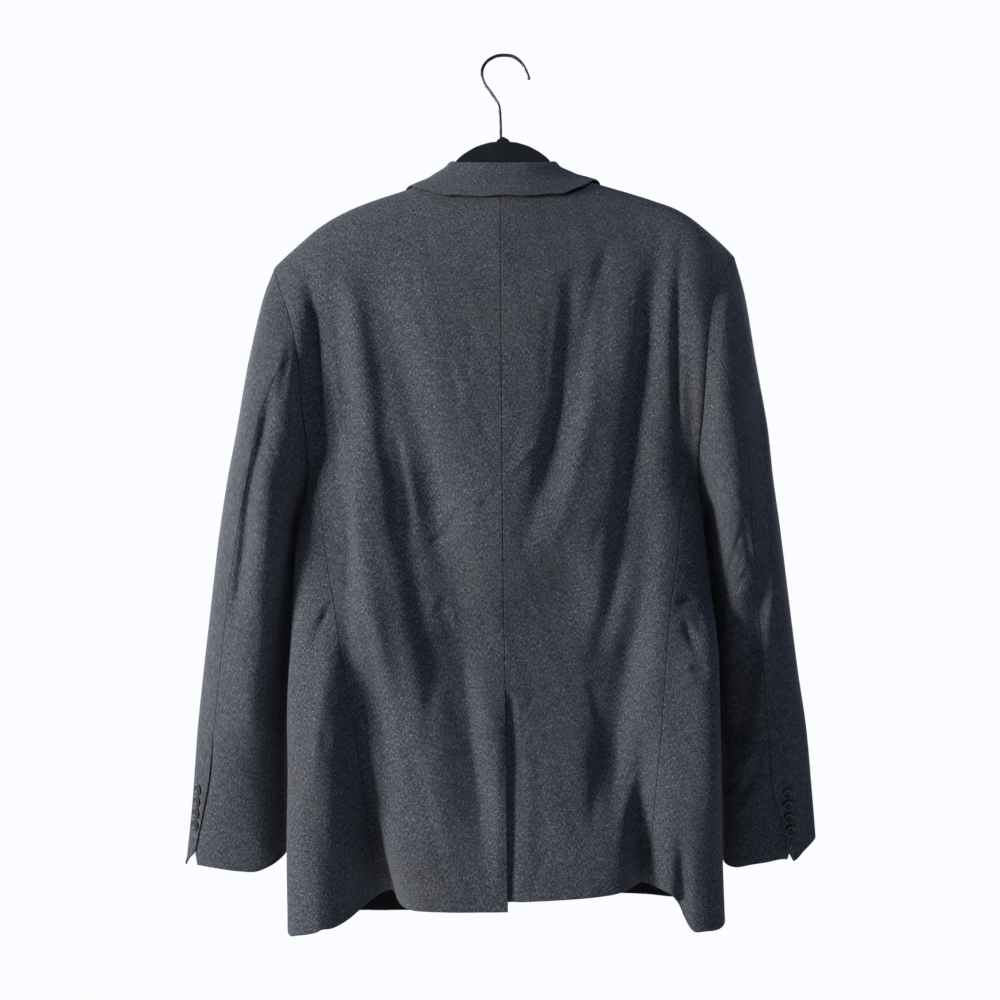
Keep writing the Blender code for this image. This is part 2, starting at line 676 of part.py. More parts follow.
def side_panel(side):
    """The side panel: from the bottom of the armhole down between back and front. It has two
    columns for each of the armhole's points."""
    angles = np.arange(SEAM_ANGLE, 360 - SEAM_ANGLE + 1, ARMHOLE_STEP / 2)
    columns = len(angles)
    edge = armhole(side, angles)
    edge[1::2] = (edge[:-1:2] + edge[2::2]) / 2
    inner, outer = seam_rows(side, 1), seam_rows(side, -1)
    top = np.stack([np.linspace(inner[0, 0], outer[0, 0], columns), -edge[:, 2]], axis=-1)
    steps = edge - body_point(side, top[:, 0], top[:, 1])
    bottom_girth = np.linspace(inner[-1, 0], outer[-1, 0], columns)
    bottom = np.stack([bottom_girth, hem_drop(side, bottom_girth)], axis=-1)
    bottom[0], bottom[-1] = inner[-1], outer[-1]
    patch = blend_patch(top, bottom, inner, outer)
    points = body_point(side, patch[..., 0], patch[..., 1])
    normals = body_normal(side, patch[..., 0], patch[..., 1])
    below = patch[..., 1] - top[:, None, 1]
    fade = np.clip(1 - below / SEAM_FADE, 0.0, 1.0) ** 2
    points += fade[..., None] * steps[:, None]
    points[:, 0] += UNDERARM_EASE * unit(points[:, 1] - points[:, 0])
    return pull_in(points, ("inner", "outer", "top")), normals


# ---------------------------------------------------------------- sleeves


def sleeve_point(side, station, angle):
    """The sleeve's outer face: an oval at each station, which starts as the armhole's edge."""
    station, angle = np.broadcast_arrays(np.asarray(station, float), np.asarray(angle, float))
    turn = np.radians(angle)

    def oval(at):
        column = side_column(side)
        outer = np.stack([side * smooth(SLEEVE, "outer_" + column, at),
                          -smooth(SLEEVE, "outer_drop", at)], axis=-1)
        inner = np.stack([side * smooth(SLEEVE, "inner_" + column, at),
                          -smooth(SLEEVE, "inner_drop", at)], axis=-1)
        middle, reach = (outer + inner) / 2, (outer - inner) / 2
        flat = middle + reach * np.cos(turn)[..., None]
        sine = np.sin(turn)
        y = smooth(SLEEVE, "depth", at) * np.sign(sine) * np.abs(sine) ** SLEEVE_POWER
        return np.stack([flat[..., 0], smooth(SLEEVE, "centre", at) + y, flat[..., 1]], axis=-1)

    point = oval(station)
    start = np.clip(1 - station / SLEEVE_HEAD, 0.0, 1.0) ** 2
    point = point + start[..., None] * (armhole(side, angle) - oval(np.zeros_like(station)))
    turned = (angle - FRONT_SEAM_ANGLE) % 360 + FRONT_SEAM_ANGLE
    hem = -smooth(CUFF, side_column(side), turned)
    end = np.clip((station - CUFF_START) / (1 - CUFF_START), 0.0, 1.0) ** 3
    point[..., 2] += end * (hem - point[..., 2])
    return point


def sleeve_normal(side, station, angle):
    """Outward normal of the sleeve's outer face, by finite differences."""
    along = sleeve_point(side, station + 0.002, angle) - sleeve_point(side, station - 0.002, angle)
    round_it = sleeve_point(side, station, angle + 0.5) - sleeve_point(side, station, angle - 0.5)
    return unit(side * np.cross(along, round_it))


def sleeve_piece(side, from_angle, to_angle, columns, vent=False):
    """One of the sleeve's two pieces, between two seams given as angles at each station."""
    stations = np.linspace(0.0, 1.0, SLEEVE_ROWS) ** 1.15
    start, end = from_angle(stations), to_angle(stations)
    if vent:
        open_at = np.clip((stations - CUFF_VENT_STATION) / (1 - CUFF_VENT_STATION), 0.0, 1.0)
        end = end - CUFF_VENT_NOTCH * open_at
    across = np.linspace(0.0, 1.0, columns)[:, None]
    angles = start + (end - start) * across
    points = sleeve_point(side, stations[None], angles)
    normals = sleeve_normal(side, np.clip(stations, 0.002, 0.998)[None], angles)
    if vent:
        turned = CUFF_FLARE * open_at * np.exp(-(((end - angles) / CUFF_FLARE_REACH) ** 2))
        points += turned[..., None] * normals
    share = armhole_share(angles[:, 0])
    common = armhole_out(side, angles[:, 0])
    normals[:, 0] = unit(share * common + (1 - share) * normals[:, 0])
    return pull_in(points, ("inner", "outer", "top")), normals


def sleeve_seam(side, stations):
    return smooth(SLEEVE_SEAM, side_column(side), stations)


def sleeve_top(side):
    """The top sleeve: from the front seam over the outer edge to the back seam."""
    return sleeve_piece(
        side,
        lambda stations: np.full_like(stations, FRONT_SEAM_ANGLE),
        lambda stations: sleeve_seam(side, stations),
        columns=12,
        vent=True,
    )


def sleeve_under(side):
    """The under sleeve: from the back seam round the inner edge to the front seam."""
    return sleeve_piece(
        side,
        lambda stations: sleeve_seam(side, stations),
        lambda stations: np.full_like(stations, FRONT_SEAM_ANGLE + 360),
        columns=8,
    )


# ---------------------------------------------------------------- collar and lapels


def grid_normals(points, facing):
    """Normals of a grid of points, by the differences of its rows and columns."""
    return facing * unit(np.cross(np.gradient(points, axis=0), np.gradient(points, axis=1)))


def neck_seam(side, stations):
    """Points and outward normals of the panels' own neckline, read at the collar's stations."""
    back_points, back_normals = back_panel(side)
    front_points, front_normals = front_panel(side)
    points = np.concatenate([back_points[: NECK_COLUMNS + 1, 0], front_points[0, 1 : NECK_ROWS + 1]])
    normals = np.concatenate(
        [back_normals[: NECK_COLUMNS + 1, 0], front_normals[0, 1 : NECK_ROWS + 1]]
    )
    on_back = np.linspace(0.0, COLLAR_SHOULDER, NECK_COLUMNS + 1)
    on_front = np.linspace(COLLAR_SHOULDER, 1.0, NECK_ROWS + 1)[1:]
    knots = np.concatenate([on_back, on_front])

    def read(values):
        return np.stack([np.interp(stations, knots, values[:, k]) for k in range(3)], axis=-1)

    return read(points), unit(read(normals))


def collar_flatness(stations):
    """0 where the collar stands up round the neck, 1 where it lies flat at its front end."""
    return ramp((stations - COLLAR_FLAT_START) / COLLAR_FLAT_RAMP)[:, None]


def collar_half(side, stations):
    """Half of the collar: rows of points from the neck seam over the fold to the outer edge. At
    the front end the stand runs out, and the fold wraps the front's edge like the lapel's."""
    def column(name):
        return smooth(COLLAR, name, stations)

    mirror = np.array([side, 1.0, 1.0])
    seam, normal = neck_seam(side, stations)
    across = unit(np.cross(np.gradient(seam, axis=0), normal))
    across *= np.sign(np.sum(across * np.array([side, 0.0, -1.0]), axis=-1, keepdims=True))
    roll = np.stack([column("roll_x"), column("roll_y"), -column("roll_drop")], axis=-1) * mirror
    from_shoulder = np.abs(stations - COLLAR_SHOULDER)
    over_edge = COLLAR_OVER_EDGE * ramp(1 - from_shoulder / COLLAR_OVER_REACH)
    leaf, _ = over_body(side, column("leaf_x"), column("leaf_y"), LIE + over_edge)
    middle, _ = over_body(side, column("middle_x"), column("middle_y"), LIE + over_edge)
    outwards = unit((leaf - roll) * np.array([1.0, 1.0, 0.0]))
    down = COLLAR_FOLD_DROP * np.array([0.0, 0.0, -1.0])
    start = seam - CLOTH * normal - SEAM_GAP * across
    stand_top = roll - COLLAR_ROLL * 0.9 * outwards + down
    fall_top = roll + COLLAR_ROLL * outwards + down
    standing = (start, (start + stand_top) / 2, stand_top, roll, fall_top)
    wrapped = [seam + along * across + above * normal for along, above in COLLAR_WRAP]
    flat = collar_flatness(stations)
    start, stand, stand_top, roll, fall_top = (
        (1 - flat) * a + flat * b for a, b in zip(standing, wrapped)
    )
    chord = (fall_top + leaf) / 2
    lift = np.maximum(chord - middle, 0.0) * np.array([0.0, 0.0, COLLAR_ARCH])
    middle = middle + (1 - flat) * lift
    upper = (fall_top + middle) / 2 + 0.5 * normal
    lower = (middle + leaf) / 2 + 0.3 * normal
    rows = [start, stand, stand_top, roll, fall_top, upper, middle, lower, leaf]
    return np.stack(rows, axis=1), normal


def collar():
    """The collar in one piece round the neck: the stand faces the neck, and the fall lies out."""
    stations = np.array(COLLAR_STATIONS)
    left, left_normal = collar_half(LEFT, stations)
    right, right_normal = collar_half(RIGHT, stations)
    points = np.concatenate([right[::-1], left[1:]])
    points[len(right) - 1] = (left[0] + right[0]) / 2
    normals = grid_normals(points, 1)
    seam_normals = np.concatenate([right_normal[::-1], left_normal[1:]])
    stations_round = np.concatenate([stations[::-1], stations[1:]])
    flat = collar_flatness(stations_round)
    normals[:, 0] = unit(flat * normals[:, 0] - (1 - flat) * seam_normals)
    return points, normals


def lapel(side, columns=8, rows=13):
    """The lapel: from the roll line out over the front, on the front's own points moved out."""
    along = np.linspace(0.0, 1.0, rows)
    last = BREAK_DROP - LAPEL_END[side]
    inner_drop = GORGE_DROP + 1 + (last - GORGE_DROP - 1) * along
    fraction = (inner_drop - GORGE_DROP) / (BREAK_DROP - GORGE_DROP)
    inner_x = GORGE_X + (BREAK_X - GORGE_X) * fraction
    tip_x, tip_drop = LAPEL_TIP
    end_fraction = fraction[-1]
    outer_end_x = tip_x + (BREAK_X + LAPEL_END_WIDTH - tip_x) * end_fraction
    outer_end_drop = tip_drop + (BREAK_DROP - tip_drop) * end_fraction
    outer_x = tip_x + (outer_end_x - tip_x) * along
    outer_drop = tip_drop + (outer_end_drop - tip_drop) * along
    outer_x = outer_x + LAPEL_BELLY * np.sin(math.pi * np.minimum(along * end_fraction, 1.0))
    rolled = np.array(LAPEL_ROLL)
    flat = np.linspace(0.0, 1.0, columns - len(rolled) + 1)[1:]
    width = (outer_x - inner_x)[:, None]
    across = np.concatenate([
        np.broadcast_to(rolled[:, 0], (rows, len(rolled))),
        rolled[-1, 0] + (width - rolled[-1, 0]) * flat,
    ], axis=1)
    lie = np.concatenate([rolled[:, 1], rolled[-1, 1] + (LAPEL_EDGE_LIE - rolled[-1, 1]) * flat])
    x = inner_x[:, None] + across
    drop = inner_drop[:, None] + (outer_drop - inner_drop)[:, None] * (across / width)
    girth = girth_of(side, x, drop, -1)
    points = body_point(side, girth, drop) + lie[:, None] * body_normal(side, girth, drop)
    normals = grid_normals(points, side)
    return points, normals


# ---------------------------------------------------------------- meshes


def cloth_mesh(name, points, normals, thickness=CLOTH):
    """A closed wall: the grid of points outside, the same grid moved in behind it, and the rim."""
    columns, rows = points.shape[:2]
    outside = points.reshape(-1, 3)
    inside = (points - thickness * normals).reshape(-1, 3)
    count = len(outside)
    index = np.arange(count).reshape(columns, rows)
    cells = np.stack(
        [index[:-1, :-1], index[:-1, 1:], index[1:, 1:], index[1:, :-1]], axis=-1
    ).reshape(-1, 4)
    ring = np.concatenate([index[:, 0], index[-1, 1:], index[-2::-1, -1], index[0, -2:0:-1]])
    following = np.roll(ring, -1)
    rim = np.stack([ring, following, following + count, ring + count], axis=-1)
    faces = np.concatenate([cells, cells[:, ::-1] + count, rim])
    edges_a = points[1:, :-1] - points[:-1, :-1]
    edges_b = points[:-1, 1:] - points[:-1, :-1]
    facing = np.sum(np.cross(edges_b, edges_a) * normals[:-1, :-1])
    if facing < 0:
        faces = faces[:, ::-1]
    mesh = bpy.data.meshes.new(name)
    mesh.from_pydata((np.concatenate([outside, inside]) * MM).tolist(), [], faces.tolist())
    mesh.validate()
    mesh.shade_smooth()
    mesh.set_sharp_from_angle(angle=math.radians(50))
    return mesh


def material(name):
    colour, roughness, metallic = COLOURS[name]
    made = bpy.data.materials.new(name)
    made.use_nodes = True
    shader = made.node_tree.nodes["Principled BSDF"]
    shader.inputs["Base Color"].default_value = (*colour, 1.0)
    shader.inputs["Roughness"].default_value = roughness
    shader.inputs["Metallic"].default_value = metallic
    return made


def place(parts, name, data, material_name):
    """Adds a named object to the jacket's collection, with its own material."""
    item = bpy.data.objects.new(name, data)
    parts.objects.link(item)
    data.materials.append(material(material_name))
    return item


def add_cloth(parts, name, piece):
    return place(parts, name, cloth_mesh(name, *piece), "charcoal_wool")


def button_profile(radius, thickness):
    """Half of the button's section: a flat back, a raised rim and a dished middle."""
    return (
        (0.0, thickness * 0.62),
        (radius * 0.55, thickness * 0.66),
        (radius * 0.78, thickness),
        (radius * 0.92, thickness * 0.94),
        (radius, thickness * 0.6),
        (radius * 0.9, 0.0),
        (0.0, 0.0),
    )


def add_button(parts, name, centre, normal, radius, thickness):
    """A round button turned about its own axis and laid on the cloth."""
    profile = button_profile(radius, thickness)
    mesh = bpy.data.meshes.new(name)
    points = [(r * MM, 0.0, z * MM) for r, z in profile]
    mesh.from_pydata(points, [(i, i + 1) for i in range(len(points) - 1)], [])
    button = place(parts, name, mesh, "dark_button")
    turned = button.modifiers.new("Turned", "SCREW")
    turned.steps = BUTTON_STEPS
    turned.render_steps = BUTTON_STEPS
    turned.use_merge_vertices = True
    turned.merge_threshold = 0.00005
    button.location = (centre + BUTTON_SEAT * normal) * MM
    button.rotation_mode = "QUATERNION"
    tilt = math.acos(float(np.clip(normal[2], -1.0, 1.0)))
    axis = unit(np.cross([0.0, 0.0, 1.0], normal))
    half = tilt / 2
    button.rotation_quaternion = (math.cos(half), *(axis * math.sin(half)))
    return button


def cuff_station(side, drop, angle):
    """Station of the sleeve at which its face has a given drop."""
    stations = np.linspace(0.6, 1.0, 400)
    drops = -sleeve_point(side, stations, np.full_like(stations, angle))[:, 2]
    return float(np.interp(drop, drops, stations))


def add_cuff_buttons(parts, side):
    """Four buttons in a row beside the cuff's vent, on the top sleeve."""
    for number, drop in enumerate(CUFF_BUTTON_DROPS, start=1):
        station = cuff_station(side, drop, 40.0)
        angle = float(sleeve_seam(side, np.array(station))) - CUFF_BUTTON_ANGLE
        centre = sleeve_point(side, station, angle)
        normal = sleeve_normal(side, station, angle)
        name = f"cuff_button_{SIDE_NAMES[side]}_{number}"
        add_button(parts, name, centre, normal, CUFF_BUTTON_RADIUS, CUFF_BUTTON_THICKNESS)


def add_front_buttons(parts):
    """Two buttons on the centre line of the left front."""
    for number, drop in enumerate(FRONT_BUTTON_DROPS, start=1):
        girth = girth_of(LEFT, np.array(0.0), np.array(drop), -1)
        centre = body_point(LEFT, girth, drop)
        normal = body_normal(LEFT, girth, np.array(drop))
        name = f"front_button_{number}"
        add_button(parts, name, centre, normal, FRONT_BUTTON_RADIUS, FRONT_BUTTON_THICKNESS)


# ---------------------------------------------------------------- hanger


def hanger_outline():
    """Outline of the hanger: a domed middle, arms that follow the shoulders, and round tips."""
    def arm(side):
        x = np.linspace(ARM_START, HANGER_HALF_WIDTH - HANGER_HEIGHT / 2, 9)
        below = CLOTH + HANGER_SEAT
        normal = ridge_normal(side, x)
        top = np.stack([BODY["centre"][0] + side * x,
                        -smooth(SHOULDER, side_column(side), x)], axis=-1)
        top = top - below * np.stack([normal[:, 0], normal[:, 2]], axis=-1)
        bottom = top - HANGER_HEIGHT * np.stack([normal[:, 0], normal[:, 2]], axis=-1)
        middle = (top[-1] + bottom[-1]) / 2
        outwards = np.array([normal[-1, 2] * side, -abs(normal[-1, 0])])
        half = HANGER_HEIGHT / 2
        upright = np.array([normal[-1, 0], normal[-1, 2]])
        turns = np.radians(TIP_TURNS)
        tip = [middle + half * (math.sin(t) * upright + math.cos(t) * outwards) for t in turns]
        return list(top), tip, list(bottom[::-1])

    def dome(side):
        return [np.array([side * x, -drop]) for x, drop in zip(DOME["x"], DOME["drop"])]

    left_top, left_tip, left_bottom = arm(LEFT)
    right_top, right_tip, right_bottom = arm(RIGHT)
    left_dome, right_dome = dome(LEFT), dome(RIGHT)
    under = [
        np.array([x, -UNDERSIDE_DROP - UNDERSIDE_SLOPE * (x / UNDERSIDE_X[0]) ** 2])
        for x in UNDERSIDE_X
    ]
    outline = left_dome + left_top + left_tip + left_bottom + under
    outline += right_bottom[::-1] + right_tip[::-1] + right_top[::-1] + right_dome[:0:-1]
    return outline


def add_hanger_body(parts):
    """The flocked body, a flat outline with rounded edges, standing in the plane of the arms."""
    curve = bpy.data.curves.new("hanger_outline", "CURVE")
    curve.dimensions = "2D"
    curve.fill_mode = "BOTH"
    curve.extrude = (HANGER_THICKNESS / 2 - HANGER_EDGE) * MM
    curve.bevel_depth = HANGER_EDGE * MM
    curve.bevel_resolution = 1
    curve.offset = -HANGER_EDGE * MM
    outline = hanger_outline()
    spline = curve.splines.new("POLY")
    spline.points.add(len(outline) - 1)
    for point, (x, z) in zip(spline.points, outline):
        point.co = (x * MM, z * MM, 0.0, 1.0)
    spline.use_cyclic_u = True
    drawn = bpy.data.objects.new("hanger_outline", curve)
    parts.objects.link(drawn)
    drawn.rotation_euler = (math.radians(90), 0.0, 0.0)
    bpy.context.view_layer.update()
    shape = drawn.evaluated_get(bpy.context.evaluated_depsgraph_get())
    mesh = bpy.data.meshes.new_from_object(shape)
    mesh.transform(drawn.matrix_world)
    bpy.data.objects.remove(drawn)
    body = place(parts, "hanger_body", mesh, "black_flock")
    weld = body.modifiers.new("Weld", "WELD")
    weld.merge_threshold = 0.00002
    return body


def add_hanger_hook(parts):
    """The wire hook, which ends just above the hanger's body."""
    curve = bpy.data.curves.new("hanger_hook", "CURVE")
    curve.dimensions = "3D"
    curve.bevel_depth = WIRE_RADIUS * MM
    curve.bevel_resolution = 2
    curve.use_fill_caps = True
    rows = np.arange(len(HOOK["x"]), dtype=float)
    at = np.linspace(0.0, rows[-1], HOOK_POINTS)
    route = {"key": rows, "x": HOOK["x"], "drop": np.minimum(HOOK["drop"], DOME["drop"][0] - SEAM_GAP)}
    spline = curve.splines.new("POLY")
    spline.points.add(HOOK_POINTS - 1)
    for point, x, drop in zip(spline.points, smooth(route, "x", at), smooth(route, "drop", at)):
        point.co = (x * MM, 0.0, -drop * MM, 1.0)
    return place(parts, "hanger_hook", curve, "dark_steel_wire")


def main():
    for item in list(bpy.data.objects):
        bpy.data.objects.remove(item)
    parts = bpy.data.collections.new("single_breasted_blazer")
    bpy.context.scene.collection.children.link(parts)
    for side in (LEFT, RIGHT):
        label = SIDE_NAMES[side]
        add_cloth(parts, f"back_{label}", back_panel(side))
        add_cloth(parts, f"side_panel_{label}", side_panel(side))
        add_cloth(parts, f"front_{label}", front_panel(side))
        add_cloth(parts, f"lapel_{label}", lapel(side))
        add_cloth(parts, f"sleeve_top_{label}", sleeve_top(side))
        add_cloth(parts, f"sleeve_under_{label}", sleeve_under(side))
        add_cuff_buttons(parts, side)
    add_cloth(parts, "collar", collar())
    add_front_buttons(parts)
    add_hanger_body(parts)
    add_hanger_hook(parts)


main()
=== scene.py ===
"""A single breasted wool blazer on a slim flocked hanger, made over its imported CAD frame.

Lengths in the tables and in the shape functions are millimetres. "Drop" is the distance below the
origin, which is the inner crown of the hanger's hook. The left side is the wearer's left, +X, and
the back faces +Y. Each cloth piece is a grid of points that a function works out from two
parameters, then a thin closed shell with rounded edges.
"""

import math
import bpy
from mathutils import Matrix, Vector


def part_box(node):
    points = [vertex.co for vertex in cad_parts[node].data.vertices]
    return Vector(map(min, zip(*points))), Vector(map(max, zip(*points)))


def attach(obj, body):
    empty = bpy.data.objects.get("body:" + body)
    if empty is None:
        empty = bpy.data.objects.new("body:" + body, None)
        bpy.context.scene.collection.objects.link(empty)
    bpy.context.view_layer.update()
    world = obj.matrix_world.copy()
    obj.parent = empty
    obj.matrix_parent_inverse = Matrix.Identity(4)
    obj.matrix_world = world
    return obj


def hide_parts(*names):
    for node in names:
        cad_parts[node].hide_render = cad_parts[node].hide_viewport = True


bl_info = {
    "name": "Single Breasted Blazer",
    "version": (1, 0, 0),
    "blender": (4, 5, 0),
    "location": "3D View > Sidebar > Blazer",
    "description": "Makes a wool blazer on a slim hanger, piece by piece",
    "category": "Add Mesh",
}

import bpy
import numpy as np
from bpy.props import FloatProperty, FloatVectorProperty, PointerProperty
from mathutils import Vector

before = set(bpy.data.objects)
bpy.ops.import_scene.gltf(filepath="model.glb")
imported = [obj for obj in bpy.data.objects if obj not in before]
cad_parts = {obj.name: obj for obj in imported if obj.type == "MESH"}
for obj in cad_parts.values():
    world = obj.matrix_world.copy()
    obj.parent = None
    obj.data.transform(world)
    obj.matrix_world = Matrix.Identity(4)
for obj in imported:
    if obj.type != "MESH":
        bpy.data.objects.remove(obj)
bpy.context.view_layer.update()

MM = 0.001
LEFT, RIGHT = 1, -1
SIDE_NAMES = {LEFT: "left", RIGHT: "right"}

CLOTH = 2.0  # thickness of the wool with its interlining
SEAM_GAP = -0.12  # the sewn edges press into each other, so that no light comes through
UNDERARM_EASE = 0.25  # where the sleeve and the side panel leave the same edge
EPSILON = 0.5  # step of the finite differences
STATION_STEP, ANGLE_STEP = 0.002, 0.5  # the same on the sleeve, in stations and in degrees
FIRST_GUESS, ROUNDS = 10.0, 6  # of the search for the drop at a place seen from above
EDGE_LINES = (0.2, 0.5, 1.0)  # distances of the extra grid lines beside each edge
EDGE_SHARE = 0.24  # of the outermost cell, at most, for each of those lines
EDGE_SHADE = 0.6  # distance from an edge within which the wool is painted darker, as the seam's shade

SECTION_POWER = 4.0  # how square the body is, seen from above
SHOULDER_ROUND = 190.0  # height over which the body opens out below the shoulder line
SHOULDER_FULLNESS = 0.88  # below 1, it opens out sooner
NARROWING = 0.055  # share by which the sides draw in beside the sleeves
NARROWING_Y, NARROWING_REACH = -25.0, 42.0
NARROWING_TOP, NARROWING_RAMP = 470.0, 60.0

NECK_X = 72.0  # side neck point
NECK_BACK = 47.0  # depth of the back neckline
NECK_COLUMNS, NECK_ROWS = 30, 30  # divisions of the neckline on the back and on the front
BACK_COLUMNS, FRONT_COLUMNS = 100, 66
ROLL_ROWS, EDGE_ROWS = 108, 112  # divisions of the front's edge, along the roll and below it
GORGE_DROP, BREAK_DROP = 205.0, 530.0  # ends of the lapel's roll line
GORGE_X, BREAK_X = 48.0, -20.0
NECK_CURVE = 1.4  # how the front's neckline curves from the shoulder to the gorge
CORNER_RADIUS = 70.0  # rounded lower corner of the fronts
OVERLAP_RECESS = 7.2  # how far the right front lies under the left one
OVERLAP_WIDTH, OVERLAP_BLEND = 25.0, 50.0  # of that recess, from centre front
OVERLAP_TOP, OVERLAP_RAMP = 330.0, 95.0

VENT_TOP = 700.0
VENT_UNDERLAP = 40.0
VENT_RECESS = 3.6
VENT_BLEND, VENT_RAMP = 12.0, 16.0  # across and down, over which the recess sets in
VENT_EARLY = (0.2, 0.9)  # shares of those two by which it starts early
VENT_UNDERLAP_START, VENT_UNDERLAP_RAMP = 35.0, 30.0  # below the vent's top

COLLAR_ROLL = 2.9  # outer radius of the collar's fold
LIE = 2.9  # outer face of a flap above the cloth that it lies on

FRONT_BUTTON_DROPS = (552.0, 652.0)
BUTTON_SEAT = 0.4  # between a button and the cloth

HANGER_HEIGHT = 14.0
HANGER_HALF_WIDTH = 190.0
HANGER_SEAT = 1.15  # between the hanger's arms and the cloth on them
ARM_START = 84.0  # X where its domed middle passes into an arm
UNDERSIDE_DROP, UNDERSIDE_SLOPE = 149.0, 8.0
UNDERSIDE_HALF = 50.0
HANGER_CENTRE_DROP = 160.0  # where it reads the body's centre line
ARM_POINTS, TIP_POINTS, TIP_ANGLE = 60, 40, 84.0  # the tip's half circle, up and down from level
HANGER_STATIONS, HANGER_CORNER = 300, 9  # points along it and round each of its four corners
HANGER_ROUNDNESS = 0.96  # 1 is a full half circle
# Extra stations at its neck, and where its dome's outline is straight between the table's rows
HANGER_NECK_X = np.array([6.2, 7.0, 7.6, 8.0, 8.3, 8.6])
DOME_NECK_X = (0.0, 6.2, 7.3, 8.0, 8.6, 10.0, 14.0)

CREASE_START = 16.0  # distance from the armhole over which creases set in
ARMHOLE_CREASE_Y, ARMHOLE_CREASE_RAMP = 5.0, 30.0  # where the creases of its seam set in
FACE_FADE = 2.2  # how soon the creases of one face reach their depth, round from the side
STROKE_POINTS, STROKE_REACH = 60, 3.0  # of a crease: points along it, half widths it reaches
STROKE_ENDS = 0.3  # share of its length over which each end sets in

BUTTON_ROWS, BUTTON_FACE_ROWS, BUTTON_TURNS = 60, 28, 56  # along its section, of them its face
HOLE_SPREAD, HOLE_RADIUS = 0.23, 0.125  # of a button's radius: its holes' distance and radius
HOLE_DEPTH, HOLE_EDGE = 0.42, 1.5  # of its height, and of a hole's radius where it starts
THREAD_POINTS, THREAD_TURNS = 15, 8  # along a bundle of thread and round it
THREAD_AT_RADIUS = 6.0  # radius of the button that has thread of the stated size
THREAD_REACH, THREAD_LOW, THREAD_RISE = 1.02, 0.34, 0.46  # of a hole's distance and the height

FLOOR_RADIUS, FLOOR_DROP, FLOOR_SIDES = 2.2, 1.9, 96
CAMERA_PLACE, CAMERA_LENS = (0.0033, 1.5, -0.4873), 49.1
# The backdrop as it is seen, and the weaker, bluer light that the room gives
BACKDROP_COLOUR, BACKDROP_STRENGTH = "#fbfcff", 1.0
ROOM_COLOUR, ROOM_STRENGTH = "#a9bcf0", 0.26
# Large soft lights: place, what it faces, width and height in metres, colour and power
LIGHTS = (
    ("key light", (2.3, 1.15, -0.1), (0.0, 0.05, -0.45), (0.7, 1.1), "#fffaf4", 174.0),
    ("front light", (1.5, -2.0, 0.1), (0.0, -0.05, -0.5), (1.2, 1.6), "#ffffff", 85.0),
    ("fill light", (-1.3, -2.2, 0.1), (0.0, -0.05, -0.5), (1.2, 1.6), "#ffffff", 45.0),
    ("top light", (-0.7, 0.3, 0.9), (-0.25, 0.05, -0.2), (0.6, 0.6), "#eef2ff", 9.0),
)


# ---------------------------------------------------------------- sizes and colours


def linear(code):
    """A linear colour from an sRGB hex code: below 0.04045 it is divided by 12.92, above it the
    power 2.4 of (value + 0.055) / 1.055."""
    value = np.array([int(code[i : i + 2], 16) / 255 for i in (1, 3, 5)])
    return tuple(np.where(value <= 0.04045, value / 12.92, ((value + 0.055) / 1.055) ** 2.4))


def length_property(name, description, default, low, high):
    return FloatProperty(
        name=name, description=description, default=default, min=low, max=high,
        subtype="DISTANCE", unit="LENGTH", precision=5,
    )


def colour_property(name, description, code):
    return FloatVectorProperty(
        name=name, description=description, default=linear(code), size=3, min=0.0, max=1.0,
        subtype="COLOR",
    )


class BlazerSizes(bpy.types.PropertyGroup):
    """Sizes of the jacket's details."""

    cloth: length_property(
        "Cloth thickness", "Thickness of the wool with its interlining", CLOTH * MM, 0.0012, 0.003)
    edge: length_property(
        "Edge rounding", "Radius of the soft edges at seams and hems", 0.00095, 0.0003, 0.001)
    creases: FloatProperty(
        name="Crease depth", description="Share of the depth that each crease has",
        default=1.0, min=0.0, max=1.5, subtype="FACTOR")
    cuff_button: length_property(
        "Cuff button radius", "Radius of the eight buttons at the cuffs", 0.006, 0.005, 0.0065)
    cuff_button_height: length_property(
        "Cuff button height", "Height of a cuff button's rim", 0.0026, 0.002, 0.0035)
    front_button: length_property(
        "Front button radius", "Radius of the two buttons that close the front",
        0.010, 0.008, 0.011)
    front_button_height: length_property(
        "Front button height", "Height of a front button's rim", 0.0034, 0.0025, 0.0045)
    wire: length_property(
        "Hook wire radius", "Radius of the hook's wire", 0.00175, 0.0012, 0.0022)
    hanger: length_property(
        "Hanger thickness", "Thickness of the hanger's body, front to back", 0.005, 0.003, 0.006)
    thread: length_property(
        "Button thread", "Radius of a bundle of sewing thread in a button", 0.00042, 0.0002, 0.0006)


class BlazerColours(bpy.types.PropertyGroup):
    """Colours of the jacket, its buttons and its hanger."""

    wool_dark: colour_property(
        "Wool, dark fibres", "Darkest fibres of the heathered wool", "#1d1f25")
    wool_mid: colour_property("Wool, ground", "Ground of the heathered wool", "#34373e")
    wool_light: colour_property(
        "Wool, light fibres", "Palest fibres of the heathered wool", "#5e6169")
    wool_tint: colour_property(
        "Wool, brown cast", "Faint warm cast of the wool in places", "#3b3937")
    # Painted shade: this near black takes the place of the wool's own colour over the cloth's inner
    # face and in a thin band along every edge and seam.
    wool_painted_shade: colour_property("Wool, inside", "Inner face of the cloth", "#0f1013")
    button: colour_property("Buttons", "Dark horn-like resin of the buttons", "#15171d")
    button_streak: colour_property("Button streaks", "Paler streaks in the resin", "#2c2e35")
    thread: colour_property("Button thread", "Sewing thread of the buttons", "#1d1f25")
    flock: colour_property("Hanger flock", "Black flock on the hanger's body", "#0e1218")
    wire: colour_property("Hook wire", "Dark plated steel of the hook", "#3a3b3f")
    floor: colour_property("Floor", "Matt pale floor", "#f2f2f0")


# ---------------------------------------------------------------- tables


def table(columns, *rows):
    """Rows of numbers under named columns. The first column is the key that they are read by."""
    values = dict(zip(columns.split(), np.array(rows, dtype=float).T))
    values["key"] = values[columns.split()[0]]
    return values


